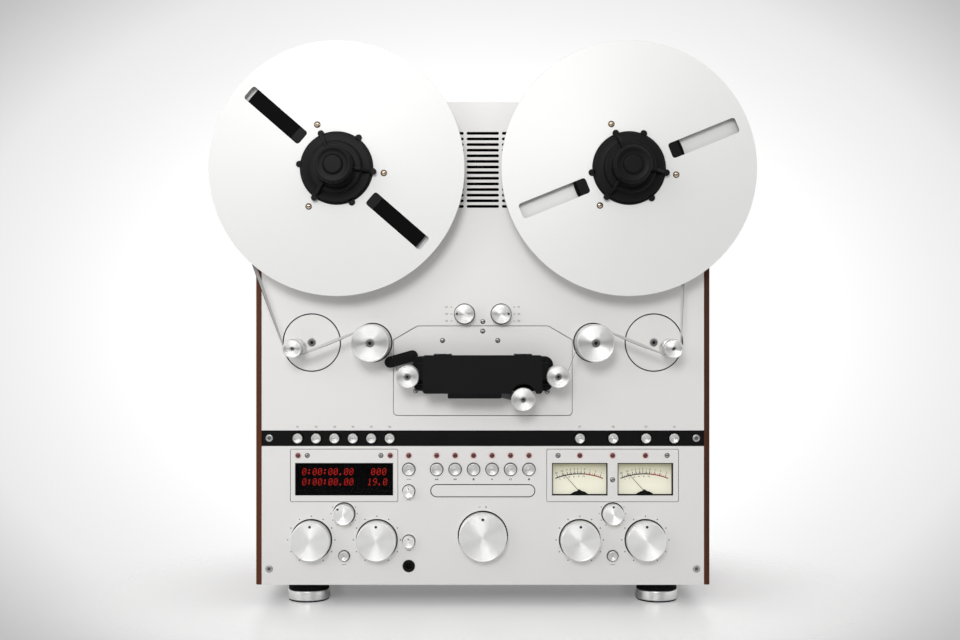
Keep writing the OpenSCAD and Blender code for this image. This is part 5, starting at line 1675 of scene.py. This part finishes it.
class RECORDER_OT_sockets(bpy.types.Operator):
    """Headphone socket, line sockets and mains inlet."""

    bl_idname = "recorder.sockets"
    bl_label = "Sockets"
    bl_options = {"REGISTER", "UNDO"}

    def execute(self, context):
        make_finishes()
        profile = [
            (6.5, -6.0), (6.5, 0.5), (6.0, 1.0), (4.4, 1.0), (4.0, 0.6), (3.3, 0.5), (3.2, 0.1), (3.2, -17.0),
        ]
        phones = turned("phones_ring", spot(*PHONES), profile, sides=56)
        dress(ease(phones, 0.15), "black_moulded", "case", "sockets")
        sleeve = [
            (6.15, -2.0), (6.15, 1.4), (5.6, 1.9), (4.15, 1.9), (4.15, 8.6), (3.8, 9.0), (3.35, 9.0),
            (3.35, 8.0), (1.9, 8.0), (1.6, 7.6), (1.6, 1.0),
        ]
        ring = [(7.4, 0.0), (7.4, 0.7), (7.0, 1.0), (6.2, 1.0)]
        for name, outline, row, finish in (
            ("line_white_rings", ring, SOCKET_X[::2], "white_ring"),
            ("line_sleeves", sleeve, SOCKET_X, "brass"),
            ("line_red_rings", ring, SOCKET_X[1::2], "red_ring"),
        ):
            piece = turned("ring", spot(0, SOCKET_ROW, REAR), outline, "back", 48)
            dress(even(joined(name, repeated(piece, [(x,) for x in row]))), finish, "case")
        self.make_inlet(INLET_X, SOCKET_ROW)
        return {"FINISHED"}

    def make_inlet(self, x, up):
        """The mains inlet: a flange on a hollow body, and three blades."""
        flange = rounded_slab("mains_inlet", x, up, 40.5, 29.0, 3.0, -222.0, -219.8)
        wall = block("wall", x, up, 30.5, 23.0, -220.4, -201.0)
        inlet = joined("mains_inlet", [wall, flange])
        cut(inlet, [rounded_slab("hollow", x, up, 24.5, 17.0, 2.0, -223.0, -204.0)])
        dress(ease(inlet, 0.35), "black_moulded", "case")
        blades = [
            block("blade", x + right, up + rise, 2.0, 4.4, -218.0, -203.0)
            for right, rise in ((-7, -2.2), (0, 2.4), (7, -2.2))
        ]
        dress(ease(joined("mains_blades", blades), 0.4), "bare_steel", "case")


class RECORDER_OT_insides(bpy.types.Operator):
    """Finishes of the frame, motors and boards inside, and a black screen behind the vents as painted shade.
    """

    bl_idname = "recorder.insides"
    bl_label = "Insides"
    bl_options = {"REGISTER", "UNDO"}

    def execute(self, context):
        make_finishes()
        for node, finishes in (
            ("chassis_frame", ("frame_aluminium",)),
            ("drive_motors", ("coil_steel",)),
            ("electronics", ("board_green", "coil_steel")),
        ):
            part = paint(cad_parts[node], *finishes)
            for face in part.data.polygons:
                behind = face.center.y > FRONT + 45 * MM and face.center.x < 0
                face.material_index = int(behind and len(finishes) > 1)
        # A black sheet behind the vents, a painted shade in the case
        screen = slab("vent_shade_screen", -64.0, 64.0, 412.0, 530.0, -15.0, -14.0)
        dress(ease(screen, 0.2), "black_and_painted_shade", "case")
        return {"FINISHED"}


class RECORDER_OT_stage(bpy.types.Operator):
    """Floor, sky, lamps and camera."""

    bl_idname = "recorder.stage"
    bl_label = "Stage"
    bl_options = {"REGISTER", "UNDO"}

    def execute(self, context):
        make_finishes()
        scene = bpy.context.scene
        scene.view_settings.view_transform = "Standard"
        self.make_floor()
        self.make_sky()
        power = sizes().key_light
        self.make_lamp("key_lamp", (-0.3, -2.6, 1.2), (0, -0.08, 0.38), 0.8, power)
        self.make_lamp("left_lamp", (-2.1, -1.9, 1.4), (0, -0.08, 0.36), 1.6, power * 0.6)
        self.make_card()
        eye = bpy.data.cameras.new("photo_view")
        eye.sensor_width = 36.0
        eye.lens = 49.2
        camera = bpy.data.objects.new("photo_view", eye)
        camera.location = spot(-3.0, 304.6, 1400.0)
        camera.rotation_euler = (math.pi / 2, 0, 0)
        scene.collection.objects.link(camera)
        scene.camera = camera
        return {"FINISHED"}

    def make_lamp(self, name, place, aim, size, power):
        """A round lamp at a place in metres, aimed at another."""
        light = bpy.data.lights.new(name, "AREA")
        light.shape = "DISK"
        light.size = size
        light.energy = power
        lamp = bpy.data.objects.new(name, light)
        lamp.location = place
        lamp.rotation_euler = (Vector(aim) - Vector(place)).to_track_quat("-Z", "Y").to_euler()
        bpy.context.scene.collection.objects.link(lamp)

    def make_card(self):
        """A dark card behind the camera that only turned metal sees, in its reflections."""
        fresh()
        bpy.ops.mesh.primitive_plane_add(size=1, location=(0, -1.75, 0.26), rotation=(math.pi / 2, 0, 0))
        bpy.context.object.scale = (3.2, 0.72, 1)
        card = settle("studio_card")
        finish = Finish("grey_card", None, Roughness=0.9, Base_Color=(0.1, 0.1, 0.1, 1))
        finish.show(finish.node("LightPath", out="Is Glossy Ray"))
        paint(card, "grey_card")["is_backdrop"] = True

    def make_floor(self):
        """A pale floor that fades into the sky."""
        fresh()
        bpy.ops.mesh.primitive_plane_add(size=3.0, location=(0, 0, -0.0002))
        floor = settle("studio_floor")
        finish = Finish("pale_floor", None, Roughness=0.35, Emission_Strength=0.19)
        grain = finish.noise(finish.coords(), 30.0, 2)
        seen = finish.node("LightPath", out="Is Camera Ray")
        finish.feed(
            Base_Color=finish.blend(grain, shade(248, 248, 248), shade(250, 250, 250)),
            Emission_Color=finish.blend(seen, (0.0, 0.0, 0.0), (1.0, 1.0, 1.0)),
        )
        reach = finish.length(finish.coords((1.0, 1.25, 0)))
        limits = {0: reach, 1: 0.26, 2: 0.5, 3: 1.0, 4: 0.0}
        finish.show(finish.node("MapRange", {"interpolation_type": "SMOOTHSTEP"}, limits))
        paint(floor, "pale_floor")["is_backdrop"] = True

    def make_sky(self):
        """White, a little greyer round the picture's edge, that lights the room less than it shows."""
        world = bpy.data.worlds.new("studio")
        bpy.context.scene.world = world
        world.use_nodes = True
        sky = Pattern(world.node_tree, "Background")
        way = sky.node("SeparateXYZ", sockets={0: sky.node("TexCoord", out="Generated")})
        ahead = way.sum("MAXIMUM", way.sum("ABSOLUTE", way.also("Y")), 0.2)
        across, rise = way / ahead, way.also("Z") / ahead * 1.45
        tone = sky.ramp(
            (across * across + rise * rise) ** 0.5,
            (0.28, (1, 1, 1)),
            (0.344, shade(244, 244, 244)),
            (0.403, shade(235, 235, 235)),
            (0.503, shade(194, 194, 194)),
            (0.9, (1, 1, 1)),
        )
        ray = sky.node("LightPath", out="Is Camera Ray")
        mirrored = ray.sum("MAXIMUM", ray.also("Is Glossy Ray"), ray.also("Is Transmission Ray"))
        room = sizes().room_light
        sky.feed(
            Color=sky.blend(ray, (1.0, 1.0, 1.0), tone),
            Strength=room + ray.sum("MAXIMUM", ray, mirrored) * (1 - room),
        )


OPERATORS = (
    RECORDER_OT_stage,
    RECORDER_OT_cabinet,
    RECORDER_OT_feet,
    RECORDER_OT_front_plates,
    RECORDER_OT_bezels,
    RECORDER_OT_fasteners,
    RECORDER_OT_reels,
    RECORDER_OT_tape,
    RECORDER_OT_rollers,
    RECORDER_OT_heads,
    RECORDER_OT_instruments,
    RECORDER_OT_knobs,
    RECORDER_OT_keys,
    RECORDER_OT_marks,
    RECORDER_OT_sockets,
    RECORDER_OT_insides,
)


class RECORDER_PT_panel(bpy.types.Panel):
    """The recorder's operators and settings in the sidebar."""

    bl_label = "Recorder"
    bl_idname = "RECORDER_PT_panel"
    bl_space_type = "VIEW_3D"
    bl_region_type = "UI"
    bl_category = "Recorder"

    def draw(self, context):
        layout = self.layout
        for operator in OPERATORS:
            layout.operator(operator.bl_idname)
        for group in (context.scene.recorder_colours, context.scene.recorder_sizes):
            box = layout.box()
            for name in group.bl_rna.properties.keys():
                if name not in ("rna_type", "name"):
                    box.prop(group, name)


CLASSES = (RecorderColours, RecorderSizes, *OPERATORS, RECORDER_PT_panel)


def register():
    """Adds the classes, and the settings to each scene."""
    for cls in CLASSES:
        bpy.utils.register_class(cls)
    bpy.types.Scene.recorder_colours = PointerProperty(type=RecorderColours)
    bpy.types.Scene.recorder_sizes = PointerProperty(type=RecorderSizes)


def unregister():
    """Takes the settings and classes out again."""
    del bpy.types.Scene.recorder_sizes
    del bpy.types.Scene.recorder_colours
    for cls in reversed(CLASSES):
        bpy.utils.unregister_class(cls)


def main():
    """Makes the whole recorder."""
    register()
    for operator in OPERATORS:
        group, name = operator.bl_idname.split(".")
        getattr(getattr(bpy.ops, group), name)()
    boxes = {"cad": CAD_BOX, "visual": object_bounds()}
    {name: [list(corner) for corner in box] for name, box in boxes.items()}


if __name__ == "__main__":
    main()
